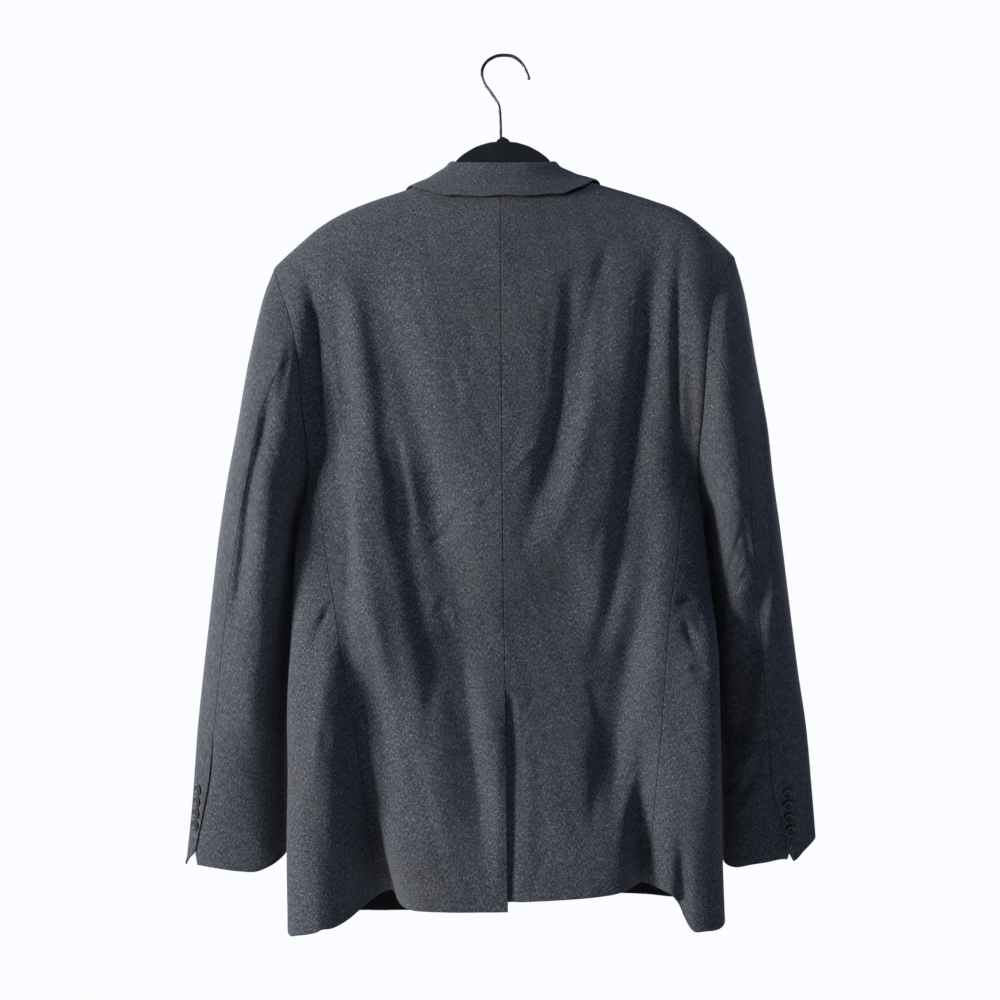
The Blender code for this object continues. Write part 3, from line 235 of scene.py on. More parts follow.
def cubic(key, values, at):
    """A smooth curve through rows of values at their keys: a cubic between each two rows, with
    the slopes that their neighbours give."""
    slope = np.gradient(values, key, axis=0)
    i = np.clip(np.searchsorted(key, at) - 1, 0, len(key) - 2)
    spread = (...,) + (None,) * (values.ndim - 1)
    step = (key[i + 1] - key[i])[spread]
    t = (at - key[i])[spread] / step
    return (
        values[i] * (1 + 2 * t) * (1 - t) ** 2
        + values[i + 1] * t**2 * (3 - 2 * t)
        + slope[i] * step * t * (1 - t) ** 2
        - slope[i + 1] * step * t**2 * (1 - t)
    )


def smooth(rows, column, at):
    """A smooth curve through one column of a table, level past its first and last rows."""
    key = rows["key"]
    return cubic(key, rows[column], np.clip(at, key[0], key[-1]))


def on_side(rows, side, at, prefix=""):
    """The column of a table that belongs to one side, as a smooth curve."""
    return smooth(rows, prefix + SIDE_NAMES[side], at)


def stacked(*parts):
    """Numbers or arrays side by side, along a new last axis."""
    return np.stack(np.broadcast_arrays(*parts), axis=-1)


# Half widths and depths of the body at each drop, round a centre line that leans a little
BODY = table(
    "drop centre left right back front",
    (110, 2.7, 262, 262, 78, 54),
    (170, 2.7, 264, 264, 79, 58),
    (233, 2.6, 263, 262, 80, 65),
    (256, 2.5, 257, 256, 81, 68),
    (290, 2.3, 246, 243, 82, 73),
    (322, 2.0, 238, 234, 84, 77),
    (390, 1.5, 230, 227, 86, 84),
    (440, 1.2, 221, 220, 88, 88),
    (475, 1.0, 217, 216, 88, 90),
    (554, 0.0, 226, 223, 86, 92),
    (640, -1.5, 233.5, 231, 84, 92),
    (702, -2.7, 239, 232, 84, 92),
    (790, -4.0, 241, 233, 86, 93),
    (850, -4.5, 243, 234, 88, 94),
    (960, -5.0, 243, 238, 89, 95),
)

# The shoulder line: its drop at each distance from the centre
SHOULDER = table(
    "x left right",
    (0, 112, 112),
    (40, 124, 122),
    (72, 136, 132),
    (105, 148.5, 141),
    (137, 159, 150.3),
    (165, 170, 159),
    (197, 188, 171.5),
    (221, 208, 188.5),
    (250, 234.5, 214),
    (275, 262, 241),
)

# X of the armhole, from its top on the shoulder line (0) to its bottom (1)
ARMHOLE_BOTTOM = 475.0
ARMHOLE_DEPTH = 62.0
ARMHOLE_EDGE = table(
    "fraction left right",
    (0.0, 250, 254),
    (0.10, 241, 235),
    (0.235, 228, 220),
    (0.37, 218.5, 214),
    (0.65, 212, 210),
    (0.86, 208, 207),
    (1.0, 208, 208),
)
ARMHOLE_STEP = 1.25  # degrees between the points round it
ARMHOLE_SQUARENESS = 0.4  # how much squarer it is at its bottom
ARMHOLE_LEAN = 0.8  # how far the direction that both sides share leans out at its top
SHARE_START, SHARE_RAMP = 0.25, 0.8  # cosines over which the walls take that direction
STEP_POWER = 5  # how close to the armhole a panel is drawn to its edge
SEAM_ANGLE = 140.0  # where the side panel's seams meet the armhole, from its top
SEAM_ROWS = 190  # points down each side seam, shared by the panels that meet there
SEAM_FADE = 60.0  # distance below the armhole over which its edge's shape fades out
BACK_SEAM_END, FRONT_SEAM_END = 910.0, 955.0  # near the hem, where it reads the seams

# Distance from the centre line of the seams between back, side panel and front
SEAMS = table(
    "drop back_left back_right front_left front_right",
    (447, 207, 206, 200, 200),
    (470, 198, 195, 192, 192),
    (550, 186, 182, 178, 178),
    (620, 175.5, 172, 170, 170),
    (690, 168, 166, 165, 165),
    (800, 159, 158, 162, 162),
    (960, 147, 152, 160, 160),
)

# Drop of the hem at each fraction of the way from centre back to centre front
HEM = table(
    "fraction left right",
    (0.0, 914.5, 905),
    (0.16, 917, 899),
    (0.24, 922, 895),
    (0.29, 936, 902),
    (0.32, 940, 914),
    (0.345, 940, 937),
    (0.38, 946, 941),
    (0.40, 949, 941.5),
    (0.415, 951.5, 940.5),
    (0.43, 951, 939),
    (0.45, 949, 936),
    (0.50, 947, 935),
    (0.56, 950, 937),
    (0.60, 956, 942),
    (0.64, 961, 946),
    (0.75, 965, 946),
    (1.0, 966, 943),
)

# The largest folds: a valley is deep where its depth is positive, and a ridge is negative.
# Its path and depth are given at the top, the middle and the bottom, and its two half widths
# on the side of the centre back and on the far side.
FOLDS = table(
    "side top bottom top_x middle_x bottom_x inner outer top_depth middle_depth bottom_depth",
    (LEFT, 590, 925, 166, 158, 133, 23, 55, 0, 26, 98),  # deep valley by the left side roll
    (LEFT, 225, 480, 210, 194, 199, 14, 12, 0, 7, 0),  # beside the left armhole
    (LEFT, 215, 700, 187, 160, 122, 18, 16, 0, -6, 0),  # ridge down the left shoulder blade
    (LEFT, 225, 705, 150, 111, 70, 20, 18, 0, 10, 0),  # long left drape
    (LEFT, 740, 900, 96, 84, 66, 14, 14, 0, 4, 0),
    (RIGHT, 620, 925, 132, 146, 148, 26, 26, 0, 16, 46),  # valley by the right side roll
    (RIGHT, 800, 925, 182, 184, 186, 14, 20, 0, 6, 20),
    (RIGHT, 215, 400, 112, 106, 96, 14, 14, 0, 5, 0),
    (RIGHT, 240, 560, 74, 58, 14, 16, 14, 0, 7, 0),  # drape towards the centre seam
    (RIGHT, 300, 540, 110, 84, 50, 14, 14, 0, -4, 0),
    (RIGHT, 190, 720, 172, 134, 98, 18, 16, 0, 11, 0),  # long right drape
    (RIGHT, 200, 470, 192, 185, 188, 12, 10, 0, 6, 0),  # beside the right armhole
)

# Rings of the sleeve from the armhole (0) to the cuff (1): outer and inner edge, centre, half depth
SLEEVE = table(
    "station outer_left outer_right outer_drop inner_left inner_right inner_drop centre depth",
    (0.0, 250, 254, 226, 208, 208, 475, 0, 62),
    (0.07, 262, 264, 264, 214, 214, 486, 0, 70),
    (0.15, 275.5, 274, 330, 221, 220, 500, 0, 76),
    (0.25, 288, 287, 401, 225, 222, 522, -3, 80),
    (0.35, 300, 294.5, 460, 228, 225, 548, -6, 78),
    (0.45, 311, 304.5, 520, 231, 229, 584, -13, 74),
    (0.56, 321.5, 315.5, 592, 235, 233, 630, -21, 68),
    (0.67, 332.5, 327.5, 670, 238, 237, 692, -29, 61),
    (0.78, 342, 340, 745, 241, 242, 756, -35, 53),
    (0.90, 349.5, 347.5, 828, 242, 244, 830, -39, 40),
    (1.0, 357, 352.5, 893, 243, 246, 887, -40, 31),
)

# Angle of the back seam of the sleeve, from its outer edge towards the back
SLEEVE_SEAM = table(
    "station left right",
    (0.0, 80, 80),
    (0.10, 79, 82),
    (0.33, 76, 90),
    (0.55, 68, 90),
    (0.78, 61, 92),
    (0.86, 56, 89),
    (0.93, 46.5, 79),
    (1.0, 36.5, 69),
)
FRONT_SEAM_ANGLE = -140.0
SLEEVE_HEAD = 0.22  # stations over which the armhole's shape passes into the sleeve's
SLEEVE_POWER = 0.9  # how round its section is
SLEEVE_ROWS = 230
SLEEVE_CROWDING = 1.15  # above 1, they lie closer together near the armhole
SLEEVE_TOP_COLUMNS, SLEEVE_UNDER_COLUMNS = 104, 62
CUFF_START = 0.8  # station below which its length is shared out down to the cuff's own edge

# Drop of the cuff's edge at each angle round it
CUFF = table(
    "angle left right",
    (-140, 872, 878),
    (-90, 872, 866),
    (-30, 882, 860),
    (0, 896, 865),
    (36, 895, 872.5),
    (47, 894, 877),
    (66, 895, 887.5),
    (76, 896, 885.5),
    (100, 899, 889),
    (116, 900, 892),
    (136, 895, 896.5),
    (160, 887, 895),
    (180, 882, 888),
    (220, 872, 878),
)
# Where the cuff's vent falls open, as a notch between its two corners: the station it starts
# at, and the degrees that the corner of the top sleeve and of the under sleeve stand back
CUFF_VENT = {LEFT: (0.978, 30.0, 10.0), RIGHT: (0.984, 4.0, 6.0)}
# The top sleeve laps over the under sleeve at the vent: how far each edge moves out, over what
# angle, the angle that the under sleeve's edge runs on below the top one, and where that starts
CUFF_LAP, CUFF_LAP_REACH, CUFF_LAP_UNDER, CUFF_LAP_START = (1.1, -1.1), (14.0, 7.0), 2.6, 0.76
CUFF_LAP_RAMP = 0.08  # stations over which it sets in
CUFF_BUTTONS = 4  # on each sleeve
# Stations and angles among which the seat of a cuff button is looked for: from, to, how many
SEAT_SEARCH = ((0.8, 1.0, 161), (0.0, 110.0, 221))

# The collar round the neck, from the centre back to its front end: the neck seam, the top of
# its fold, a point half way down its fall and its outer edge, all seen from above
COLLAR = table(
    "station seam_x seam_y roll_x roll_y roll_drop middle_x middle_y leaf_x leaf_y",
    (0.0, 0, 47, 0, 44, 127, 0, 50.5, 0, 57.3),
    (0.14, 25, 44, 24, 41, 126, 22, 49.5, 22, 56),
    (0.28, 47, 35.6, 44, 31.5, 123.5, 45, 43.5, 47, 51.5),
    (0.42, 63, 22.7, 57, 17, 119.5, 67.5, 31, 74, 43),
    (0.48, 68.5, 11.4, 60.2, 7.1, 119.9, 77.5, 19, 91, 31),
    (0.54, 72, 0, 62, -3, 122, 83, 3, 102, 8),
    (0.70, 66, -16, 60, -22, 138, 84, -18, 109, -19),
    (0.86, 56, -36, 55, -40, 168, 84, -36, 115, -29),
    (1.0, 48.5, -48.6, 47.5, -51.5, 203, 99, -48.8, 114, -36.5),
)

COLLAR_SHOULDER = 0.54  # the station over the shoulder seam
COLLAR_COLUMNS, COLLAR_ROWS = 150, 46  # points along each half, and across
COLLAR_OVER_EDGE, COLLAR_OVER_REACH = 0.8, 0.25  # more room over the shoulder's ridge
COLLAR_LIFT = {0: 2.4, LEFT: 3.0, RIGHT: 0.8}  # of its outer edge, at the centre and each side
COLLAR_LIFT_RAMP = 0.3  # station from which it is that of the side
COLLAR_LOWERS, COLLAR_LOWERS_RAMP = 0.38, 0.14  # stations where it comes down on to the shoulder
COLLAR_LOWERING = 0.85  # share of the lift that is gone there
COLLAR_CENTRE = 40.0  # distance from the centre line within which its two halves round together
COLLAR_CENTRE_ROWS = 12  # rows over which that sets in
COLLAR_FOLD_DROP = 2.6  # of the fold's two sides, below its top
COLLAR_ROLL_INSIDE = 0.9  # share of the fold's radius on the side of the neck
COLLAR_BULGE = (0.5, 0.3)  # how far its fall is full, above and below its middle
COLLAR_ARCH = 0.55  # how far its fall arches from the cloth towards a straight line
COLLAR_FLAT_START, COLLAR_FLAT_RAMP = 0.62, 0.3  # stations over which its stand runs out
# Its front end: (across from the front's edge, above the front)
COLLAR_WRAP = ((-2.5, -0.9), (-2.3, 1.2), (-1.3, 2.9), (0.6, 3.9), (4.0, 4.1))

LAPEL_COLUMNS, LAPEL_ROWS = 44, 120
LAPEL_CONTROLS = 8  # points across it before they are made into a smooth surface
LAPEL_BELOW_GORGE = 1.0  # where it starts
LAPEL_TIP = (132.0, 226.0)  # X and drop
LAPEL_BELLY = 9.0  # how far its edge bows out
LAPEL_END = {LEFT: 6.0, RIGHT: 40.0}  # how far above the break it ends
LAPEL_END_WIDTH = 8.0
LAPEL_EDGE_LIE = 3.3  # its outer edge above the front
LAPEL_ROLL = ((-2.3, -0.9), (-1.9, 1.7), (0.6, 3.7), (5.0, 4.1))  # across, above the front

# Centre line of the hook's wire, from its tip to the hanger
HOOK = table(
    "x drop",
    (-28.5, 23.7),
    (-26.6, 18.4),
    (-22.6, 9.9),
    (-17.0, 3.2),
    (-9.6, -0.9),
    (0.0, -1.75),
    (8.0, -0.6),
    (15.5, 3.4),
    (20.6, 9.0),
    (23.0, 15.6),
    (22.8, 23.0),
    (19.8, 30.2),
    (14.4, 37.6),
    (9.0, 45.6),
    (5.0, 53.0),
    (3.6, 59.5),
    (2.7, 75.0),
    (2.5, 95.0),
)

HOOK_POINTS, HOOK_TURNS = 170, 24  # along the wire and round it

# The hanger's domed middle from its neck, which holds the hook, to its arms
DOME = table(
    "x drop",
    (0, 87.5),
    (4.9, 87.5),
    (5.9, 90.0),
    (6.8, 93.2),
    (14, 93.9),
    (20, 95.5),
    (30.5, 99.2),
    (36, 102.2),
    (41.5, 105.6),
    (47, 109.8),
    (52.2, 115.2),
    (56, 122.5),
    (68, 142.2),
)

# Small unevenness of the cloth: height, wave length, direction and phase of each wave
WAVES = (
    (0.30, 88.0, 0.62, 0.35, 0.70, 0.4),
    (0.26, 61.0, -0.55, 0.30, 0.78, 2.1),
    (0.20, 43.0, 0.93, 0.20, -0.31, 4.4),
    (0.14, 27.0, 0.38, -0.50, 0.78, 1.3),
    (0.10, 19.0, -0.86, 0.42, 0.30, 5.2),
    (0.06, 14.0, 0.71, 0.10, 0.70, 3.0),
)

# Creases of the hidden front, like those of the back
FRONT_CREASES = (
    (3.0, 9, 9, ((168, 205), (150, 300), (128, 400), (96, 505))),
    (-2.4, 10, 10, ((196, 240), (178, 330), (152, 430), (122, 520))),
    (2.2, 7, 7, ((190, 330), (176, 420), (160, 500))),
    (2.6, 7, 8, ((24, 556), (64, 572), (110, 596), (150, 628))),
    (1.8, 6, 6, ((30, 548), (76, 552), (124, 560))),
    (-1.8, 7, 7, ((28, 566), (70, 588), (118, 620))),
    (2.8, 11, 11, ((60, 640), (74, 740), (92, 850), (98, 946))),
    (-2.4, 12, 12, ((120, 650), (128, 750), (134, 850), (136, 950))),
    (2.0, 9, 9, ((158, 660), (164, 760), (160, 880))),
    (1.2, 5, 5, ((84, 300), (92, 340), (90, 376))),
    (2.8, 9, 9, ((-172, 200), (-156, 300), (-130, 410), (-92, 512))),
    (-2.2, 10, 10, ((-198, 245), (-176, 345), (-150, 440), (-116, 524))),
    (2.0, 7, 7, ((-186, 340), (-172, 430), (-150, 520))),
    (2.4, 8, 7, ((-26, 560), (-70, 578), (-116, 606), (-152, 640))),
    (1.6, 6, 6, ((-34, 546), (-84, 548), (-130, 562))),
    (2.6, 11, 11, ((-56, 650), (-66, 745), (-84, 845), (-96, 930))),
    (-2.2, 12, 12, ((-112, 660), (-122, 760), (-130, 860), (-134, 936))),
    (1.8, 8, 8, ((-156, 670), (-160, 770), (-158, 890))),
    (1.3, 5, 5, ((-88, 310), (-98, 352), (-94, 392))),
)

# Creases of the hidden front of the sleeves
SLEEVE_FRONT_CREASES = (
    (3.2, 8, 7, ((262, 300), (256, 380), (262, 460), (276, 540))),
    (3.0, 6, 7, ((300, 520), (284, 556), (262, 574), (244, 580))),
    (2.4, 6, 6, ((306, 566), (290, 596), (268, 612), (250, 614))),
    (-2.0, 6, 6, ((304, 544), (286, 576), (262, 594))),
    (2.4, 7, 7, ((312, 620), (304, 690), (296, 760), (292, 820))),
    (1.6, 5, 5, ((322, 640), (318, 670), (306, 690))),
    (3.0, 8, 7, ((-260, 310), (-254, 390), (-262, 470), (-274, 548))),
    (2.8, 6, 7, ((-296, 526), (-280, 560), (-260, 580), (-244, 584))),
    (2.4, 6, 6, ((-302, 574), (-286, 602), (-264, 620), (-248, 620))),
    (-2.0, 6, 6, ((-300, 550), (-282, 582), (-258, 600))),
    (2.6, 7, 7, ((-308, 630), (-300, 700), (-292, 770), (-290, 826))),
    (1.8, 5, 5, ((-318, 700), (-308, 724), (-292, 736))),
)

# Creases of the back and the side panels: depth, half width on each side of its path, and the path
# as (X, drop) points. A negative depth is a ridge.
BACK_CREASES = (
    # broad drapes
    (19, 25, 17, ((189, 228), (182, 280), (176, 332), (171, 384), (169, 435), (168, 492))),
    (12, 36, 16, ((171, 415), (168, 467), (167, 518), (168, 570), (169, 622), (165, 674))),
    (12, 22, 22, ((136, 212), (129, 269), (114, 321), (97, 384), (81, 446), (69, 508),
     (59, 570))),
    (14, 28, 34, ((88, 425), (72, 498), (59, 570), (53, 633), (51, 705))),
    (14, 26, 30, ((163, 601), (153, 653), (140, 695), (130, 736), (122, 788), (115, 840),
     (111, 897))),
    (-5, 18, 9, ((179, 591), (176, 643), (175, 695), (179, 757), (179, 821), (171, 902))),
    (7, 14, 13, ((-90, 223), (-82, 280), (-79, 321), (-77, 363), (-68, 404), (-58, 446),
     (-48, 487), (-35, 534))),
    (5, 16, 12, ((-169, 212), (-159, 269), (-154, 332), (-150, 384), (-146, 435), (-144, 487),
     (-142, 550))),
    (10, 28, 16, ((-152, 446), (-148, 508), (-145, 560), (-141, 612), (-134, 659), (-123, 705))),
    (18, 22, 13, ((-147, 560), (-138, 633), (-130, 684), (-122, 736), (-117, 788), (-108, 856))),
    (5, 12, 9, ((-192, 218), (-191, 280), (-192, 332), (-197, 384), (-202, 425), (-202, 467),
     (-190, 524))),
    (5, 15, 11, ((-138, 742), (-143, 788), (-146, 840), (-150, 894))),
    (-20, 34, 14, ((-228, 581), (-227, 643), (-224, 716), (-223, 799), (-223, 882))),
    (20, 120, 36, ((-38, 508), (-75, 612), (-97, 716), (-113, 902))),
    (16, 34, 44, ((146, 648), (138, 695), (130, 742), (122, 788), (116, 840), (112, 882))),
    (20, 52, 16, ((49, 612), (41, 695), (34, 757), (27, 819), (20, 902))),
    (8, 48, 150, ((24, 581), (3, 684), (-5, 799), (-7, 908))),
    (5, 11, 24, ((-5, 684), (-12, 731), (-15, 799), (-15, 861), (-14, 908))),
    # left shoulder blade
    (2, 5, 5, ((159, 425), (160, 487), (162, 591), (159, 648))),
    (2, 6, 6, ((130, 384), (127, 425), (117, 467), (113, 513), (105, 555))),
    (3.2, 6, 5, ((114, 399), (108, 441), (100, 492), (97, 550))),
    (1.3, 5, 5, ((95, 240), (93, 283))),
    (1, 5, 5, ((87, 278), (78, 309), (68, 326))),
    (1.3, 5, 5, ((61, 329), (51, 361), (44, 397))),
    (0.8, 4, 4, ((33, 298), (34, 329))),
    (0.9, 4, 4, ((40, 339), (33, 365))),
    (-0.9, 4, 4, ((41, 368), (32, 377))),
    (1, 4, 4, ((25, 401), (15, 423))),
    (1.7, 5, 4, ((1, 473), (14, 487), (28, 506))),
    (1.7, 4, 5, ((41, 490), (62, 522), (83, 537))),
    (-1.3, 6, 6, ((16, 494), (37, 518), (59, 537))),
    # right shoulder blade
    (2.4, 7, 7, ((-114, 210), (-100, 249), (-90, 301), (-73, 387))),
    (3.2, 8, 8, ((-79, 231), (-68, 275), (-61, 342), (-57, 394), (-43, 446), (-17, 539))),
    (1.3, 6, 6, ((-56, 267), (-48, 306), (-44, 363), (-43, 417))),
    (0.8, 5, 5, ((-24, 381), (-13, 423), (-4, 448))),
    (-1.6, 4, 4, ((-40, 423), (-24, 439), (-2, 467))),
    (3, 5, 6, ((-158, 240), (-148, 269), (-145, 326), (-134, 394), (-128, 456), (-117, 518))),
    (1.3, 6, 6, ((-103, 506), (-95, 534), (-89, 547))),
    (1.8, 4, 4, ((-188, 218), (-181, 280), (-179, 337), (-185, 399), (-193, 448))),
    # left skirt
    (-3, 10, 10, ((140, 545), (131, 612), (120, 695), (107, 799), (113, 894))),
    (2.6, 9, 9, ((97, 545), (90, 612), (75, 659), (78, 710), (80, 783))),
    (-1.1, 4, 4, ((65, 579), (74, 599), (77, 615))),
    (-0.9, 4, 4, ((58, 589), (49, 624))),
    (0.8, 6, 6, ((19, 608), (17, 647))),
    (-3, 9, 9, ((179, 608), (189, 684), (198, 757), (211, 821), (208, 936))),
    (-2.2, 4, 4, ((183, 589), (195, 607), (212, 640))),
    (2.2, 4, 5, ((183, 599), (193, 620), (204, 655))),
    (1.2, 5, 5, ((189, 726), (185, 752))),
    (-1.6, 6, 5, ((126, 809), (137, 838))),
    (-1.6, 9, 9, ((82, 846), (63, 890))),
    (-0.8, 4, 4, ((6, 731), (6, 908))),
    # right skirt
    (-2.2, 8, 8, ((-22, 707), (-27, 778), (-26, 840), (-20, 897))),
    (1.1, 4, 4, ((-35, 692), (-21, 711))),
    (1.1, 4, 4, ((-43, 816), (-48, 843))),
    (1.3, 4, 4, ((-53, 848), (-41, 864), (-32, 885))),
    (1.1, 4, 4, ((-82, 827), (-67, 843))),
    (3.2, 9, 9, ((-118, 537), (-113, 591), (-102, 633), (-94, 678))),
    (1.4, 5, 6, ((-89, 670), (-99, 707), (-110, 740))),
    (2.2, 7, 7, ((-94, 749), (-98, 793), (-91, 840))),
    (0.8, 5, 5, ((-140, 672), (-165, 692))),
    (2.2, 6, 6, ((-140, 759), (-131, 786), (-122, 817))),
    (3.2, 7, 7, ((-143, 784), (-136, 825), (-137, 887))),
    (1.7, 4, 4, ((-180, 599), (-197, 586))),
    (1.7, 4, 4, ((-189, 609), (-198, 636))),
    (1.7, 4, 4, ((-204, 604), (-207, 630))),
    (1.7, 3, 3, ((-192, 629), (-208, 656))),
    (-1.2, 4, 4, ((-188, 662), (-200, 655))),
    (2.2, 6, 4, ((-183, 597), (-194, 591), (-206, 595))),
    (2.6, 6, 4, ((-190, 614), (-196, 630), (-207, 641))),
    (2.2, 6, 4, ((-194, 668), (-204, 661), (-217, 665))),
    (1.3, 3, 3, ((-203, 661), (-211, 675))),
    (-1.4, 4, 4, ((-180, 688), (-202, 672))),
    (-1.3, 3, 3, ((-181, 728), (-194, 744), (-205, 754))),
)

# Creases beside the armholes, on body and sleeve alike, so they carry the seam with them
ARMHOLE_CREASES = (
    (-14, 45, 22, ((-185, 141), (-202, 188), (-215, 230), (-221, 278), (-224, 330), (-225, 382))),
    (-16, 38, 14, ((221, 262), (224, 340), (225, 414), (227, 477), (232, 540), (239, 603))),
    (-16, 26, 30, ((-211, 267), (-216, 351), (-220, 424), (-224, 487), (-227, 534))),
)

# Creases of the back of the sleeves
SLEEVE_CREASES = (
    # left sleeve
    (-25, 40, 10, ((228, 456), (236, 561), (247, 636), (259, 710), (266, 784))),
    (10, 6, 10, ((233, 347), (244, 390), (252, 429), (264, 477), (272, 535), (283, 595),
     (294, 638))),
    (-1.8, 7, 7, ((233, 365), (247, 424), (256, 477), (264, 551))),
    (2, 4, 4, ((218, 318), (224, 345), (235, 379))),
    (1.6, 4, 4, ((213, 352), (226, 369), (235, 383))),
    (1.2, 3, 3, ((243, 424), (235, 443))),
    (-1.4, 4, 4, ((226, 312), (232, 339), (236, 358))),
    (0.9, 6, 6, ((249, 652), (268, 661), (281, 659))),
    (0.8, 6, 6, ((272, 689), (287, 701), (298, 697))),
    (0.7, 6, 6, ((268, 593), (262, 625), (266, 648))),
    # right sleeve
    (-11, 16, 26, ((-221, 297), (-225, 381), (-228, 456), (-233, 530), (-237, 614), (-238, 689))),
    (-9, 30, 12, ((-244, 235), (-253, 286), (-261, 339), (-267, 392))),
    (2.6, 6, 4, ((-237, 566), (-247, 548), (-255, 528))),
    (2.2, 6, 4, ((-243, 587), (-252, 571), (-262, 561))),
    (2, 5, 4, ((-240, 623), (-249, 614), (-259, 621))),
    (7, 18, 9, ((-259, 307), (-269, 381), (-275, 456), (-280, 551))),
    (9, 18, 8, ((-278, 487), (-279, 561), (-272, 636), (-266, 699), (-263, 742), (-251, 765))),
    (-2.4, 7, 7, ((-281, 551), (-280, 636), (-276, 699), (-272, 736))),
    (2.6, 3, 4, ((-254, 502), (-245, 535), (-238, 567), (-230, 600))),
    (2.2, 4, 4, ((-249, 496), (-256, 530), (-263, 557))),
    (-1.6, 3, 3, ((-250, 542), (-241, 561))),
    (1.2, 4, 4, ((-253, 538), (-245, 567), (-234, 593))),
    (-1.8, 4, 4, ((-248, 728), (-238, 740), (-232, 752))),
    (2.6, 6, 6, ((-252, 740), (-243, 754), (-237, 767))),
    (1.8, 4, 4, ((-246, 763), (-243, 792))),
    (-2.4, 4, 4, ((-281, 754), (-269, 769), (-258, 781))),
    (2.4, 4, 5, ((-281, 769), (-272, 795), (-263, 818))),
    (-2.2, 4, 4, ((-276, 800), (-269, 818), (-264, 833))),
    (-2.2, 4, 4, ((-256, 809), (-246, 819), (-238, 826))),
    (2, 4, 4, ((-264, 790), (-252, 803), (-241, 812))),
    (0.8, 4, 4, ((-287, 535), (-292, 604), (-297, 689), (-302, 726))),
    (0.9, 5, 5, ((-246, 606), (-255, 623), (-257, 646))),
)


def unit(vectors):
    """Vectors of length 1 in the same directions."""
    return vectors / np.maximum(np.linalg.norm(vectors, axis=-1, keepdims=True), 1e-9)


def ramp(t):
    """0 to 1 with level ends."""
    t = np.clip(t, 0.0, 1.0)
    return t * t * (3 - 2 * t)


# ---------------------------------------------------------------- the body


def body_section(side, drop):
    """Half width, back depth and front depth at a drop."""
    return on_side(BODY, side, drop), smooth(BODY, "back", drop), smooth(BODY, "front", drop)


def girth_of(side, x, drop, face):
    """Distance round the half section, from centre back, of the point of a face (back 1, front -1)
    at a distance x from the centre line. It is measured on the box that encloses the section."""
    width, back, front = body_section(side, drop)
    ratio = np.clip(np.abs(x) / width, 0.0, 0.999)
    depth_ratio = (1 - ratio**SECTION_POWER) ** (1 / SECTION_POWER)
    depth = back if face > 0 else front
    on_face = np.sign(x) * width * ratio / np.maximum(depth_ratio, ratio)
    round_side = width + depth * (1 - depth_ratio / np.maximum(ratio, 1e-6))
    from_face = np.where(ratio <= depth_ratio, on_face, round_side)
    return from_face if face > 0 else 2 * width + back + front - from_face


def through_three(t, first, middle, last):
    """The quadratic through three values, at t = 0, 0.5 and 1."""
    return (1 - t) * (1 - 2 * t) * first + 4 * t * (1 - t) * middle + t * (2 * t - 1) * last


def fold_depth(side, girth, drop):
    """Sum of the folds: each is a trough 1/(1+q^2)^1.5 across, q its half widths from its path."""
    total = np.zeros(np.broadcast(girth, drop).shape)
    rows = zip(*(FOLDS[name] for name in FOLDS if name != "key"))
    for of_side, top, bottom, x0, x1, x2, inner, outer, deep0, deep1, deep2 in rows:
        if of_side != side:
            continue
        t = np.minimum((drop - top) / (bottom - top), 1.0)
        away = girth - girth_of(side, through_three(t, x0, x1, x2), drop, 1)
        q = away / np.where(away < 0, inner, outer)
        depth = through_three(t, deep0, deep1, deep2)
        total = total + np.where(t > 0, depth / (1 + q * q) ** 1.5, 0.0)
    return total


def recess_depth(side, girth, drop, total):
    """How far the right panels step in under the left ones, at the vent and the front."""
    if side == LEFT:
        return np.zeros(np.broadcast(girth, drop).shape)
    vent = ramp((VENT_BLEND - girth) / VENT_BLEND + VENT_EARLY[0])
    vent = vent * ramp((drop - VENT_TOP) / VENT_RAMP + VENT_EARLY[1])
    from_front = total - girth
    across = ramp((OVERLAP_WIDTH + OVERLAP_BLEND - from_front) / OVERLAP_BLEND)
    front = across * ramp((drop - OVERLAP_TOP) / OVERLAP_RAMP)
    return VENT_RECESS * vent + OVERLAP_RECESS * front


def body_point(side, girth, drop):
    """The body's outer face: a squarish oval at each drop, drawn in to the shoulder line above,
    with its folds pushed in or out along the oval's own normal."""
    girth, drop = np.broadcast_arrays(np.asarray(girth, float), np.asarray(drop, float))
    width, back, front = body_section(side, drop)
    total = 2 * width + back + front
    box_x = np.minimum(np.minimum(girth, width), total - girth)
    box_y = np.clip(width + back - girth, -front, back)
    depth = np.where(box_y >= 0, back, front)
    p = SECTION_POWER
    k = (np.abs(box_x / width) ** p + np.abs(box_y / depth) ** p) ** (-1 / p)
    x, y = box_x * k, box_y * k
    normal_x = np.sign(x) * np.abs(x / width) ** (p - 1) / width
    normal_y = np.sign(y) * np.abs(y / depth) ** (p - 1) / depth
    length = np.hypot(normal_x, normal_y)
    below_armhole = ramp((drop - NARROWING_TOP) / NARROWING_RAMP)
    beside_sleeve = np.exp(-(((y - NARROWING_Y) / NARROWING_REACH) ** 2))
    x = x * (1 - NARROWING * below_armhole * beside_sleeve)
    ridge = on_side(SHOULDER, side, np.abs(x))
    open_out = np.clip((drop - ridge) / SHOULDER_ROUND, 0.0, 1.0)
    y = y * (1 - (1 - open_out) ** 2) ** (SHOULDER_FULLNESS / 2)
    inwards = fold_depth(side, girth, drop) + recess_depth(side, girth, drop, total)
    x = x - inwards * normal_x / length
    y = y - inwards * normal_y / length
    centre = smooth(BODY, "centre", drop)
    return stacked(centre + side * x, y, -drop)


def body_normal(side, girth, drop):
    """Outward normal of the body's outer face, by finite differences."""
    round_it = body_point(side, girth + EPSILON, drop) - body_point(side, girth - EPSILON, drop)
    down = body_point(side, girth, drop + EPSILON) - body_point(side, girth, drop - EPSILON)
    return unit(side * np.cross(round_it, down))


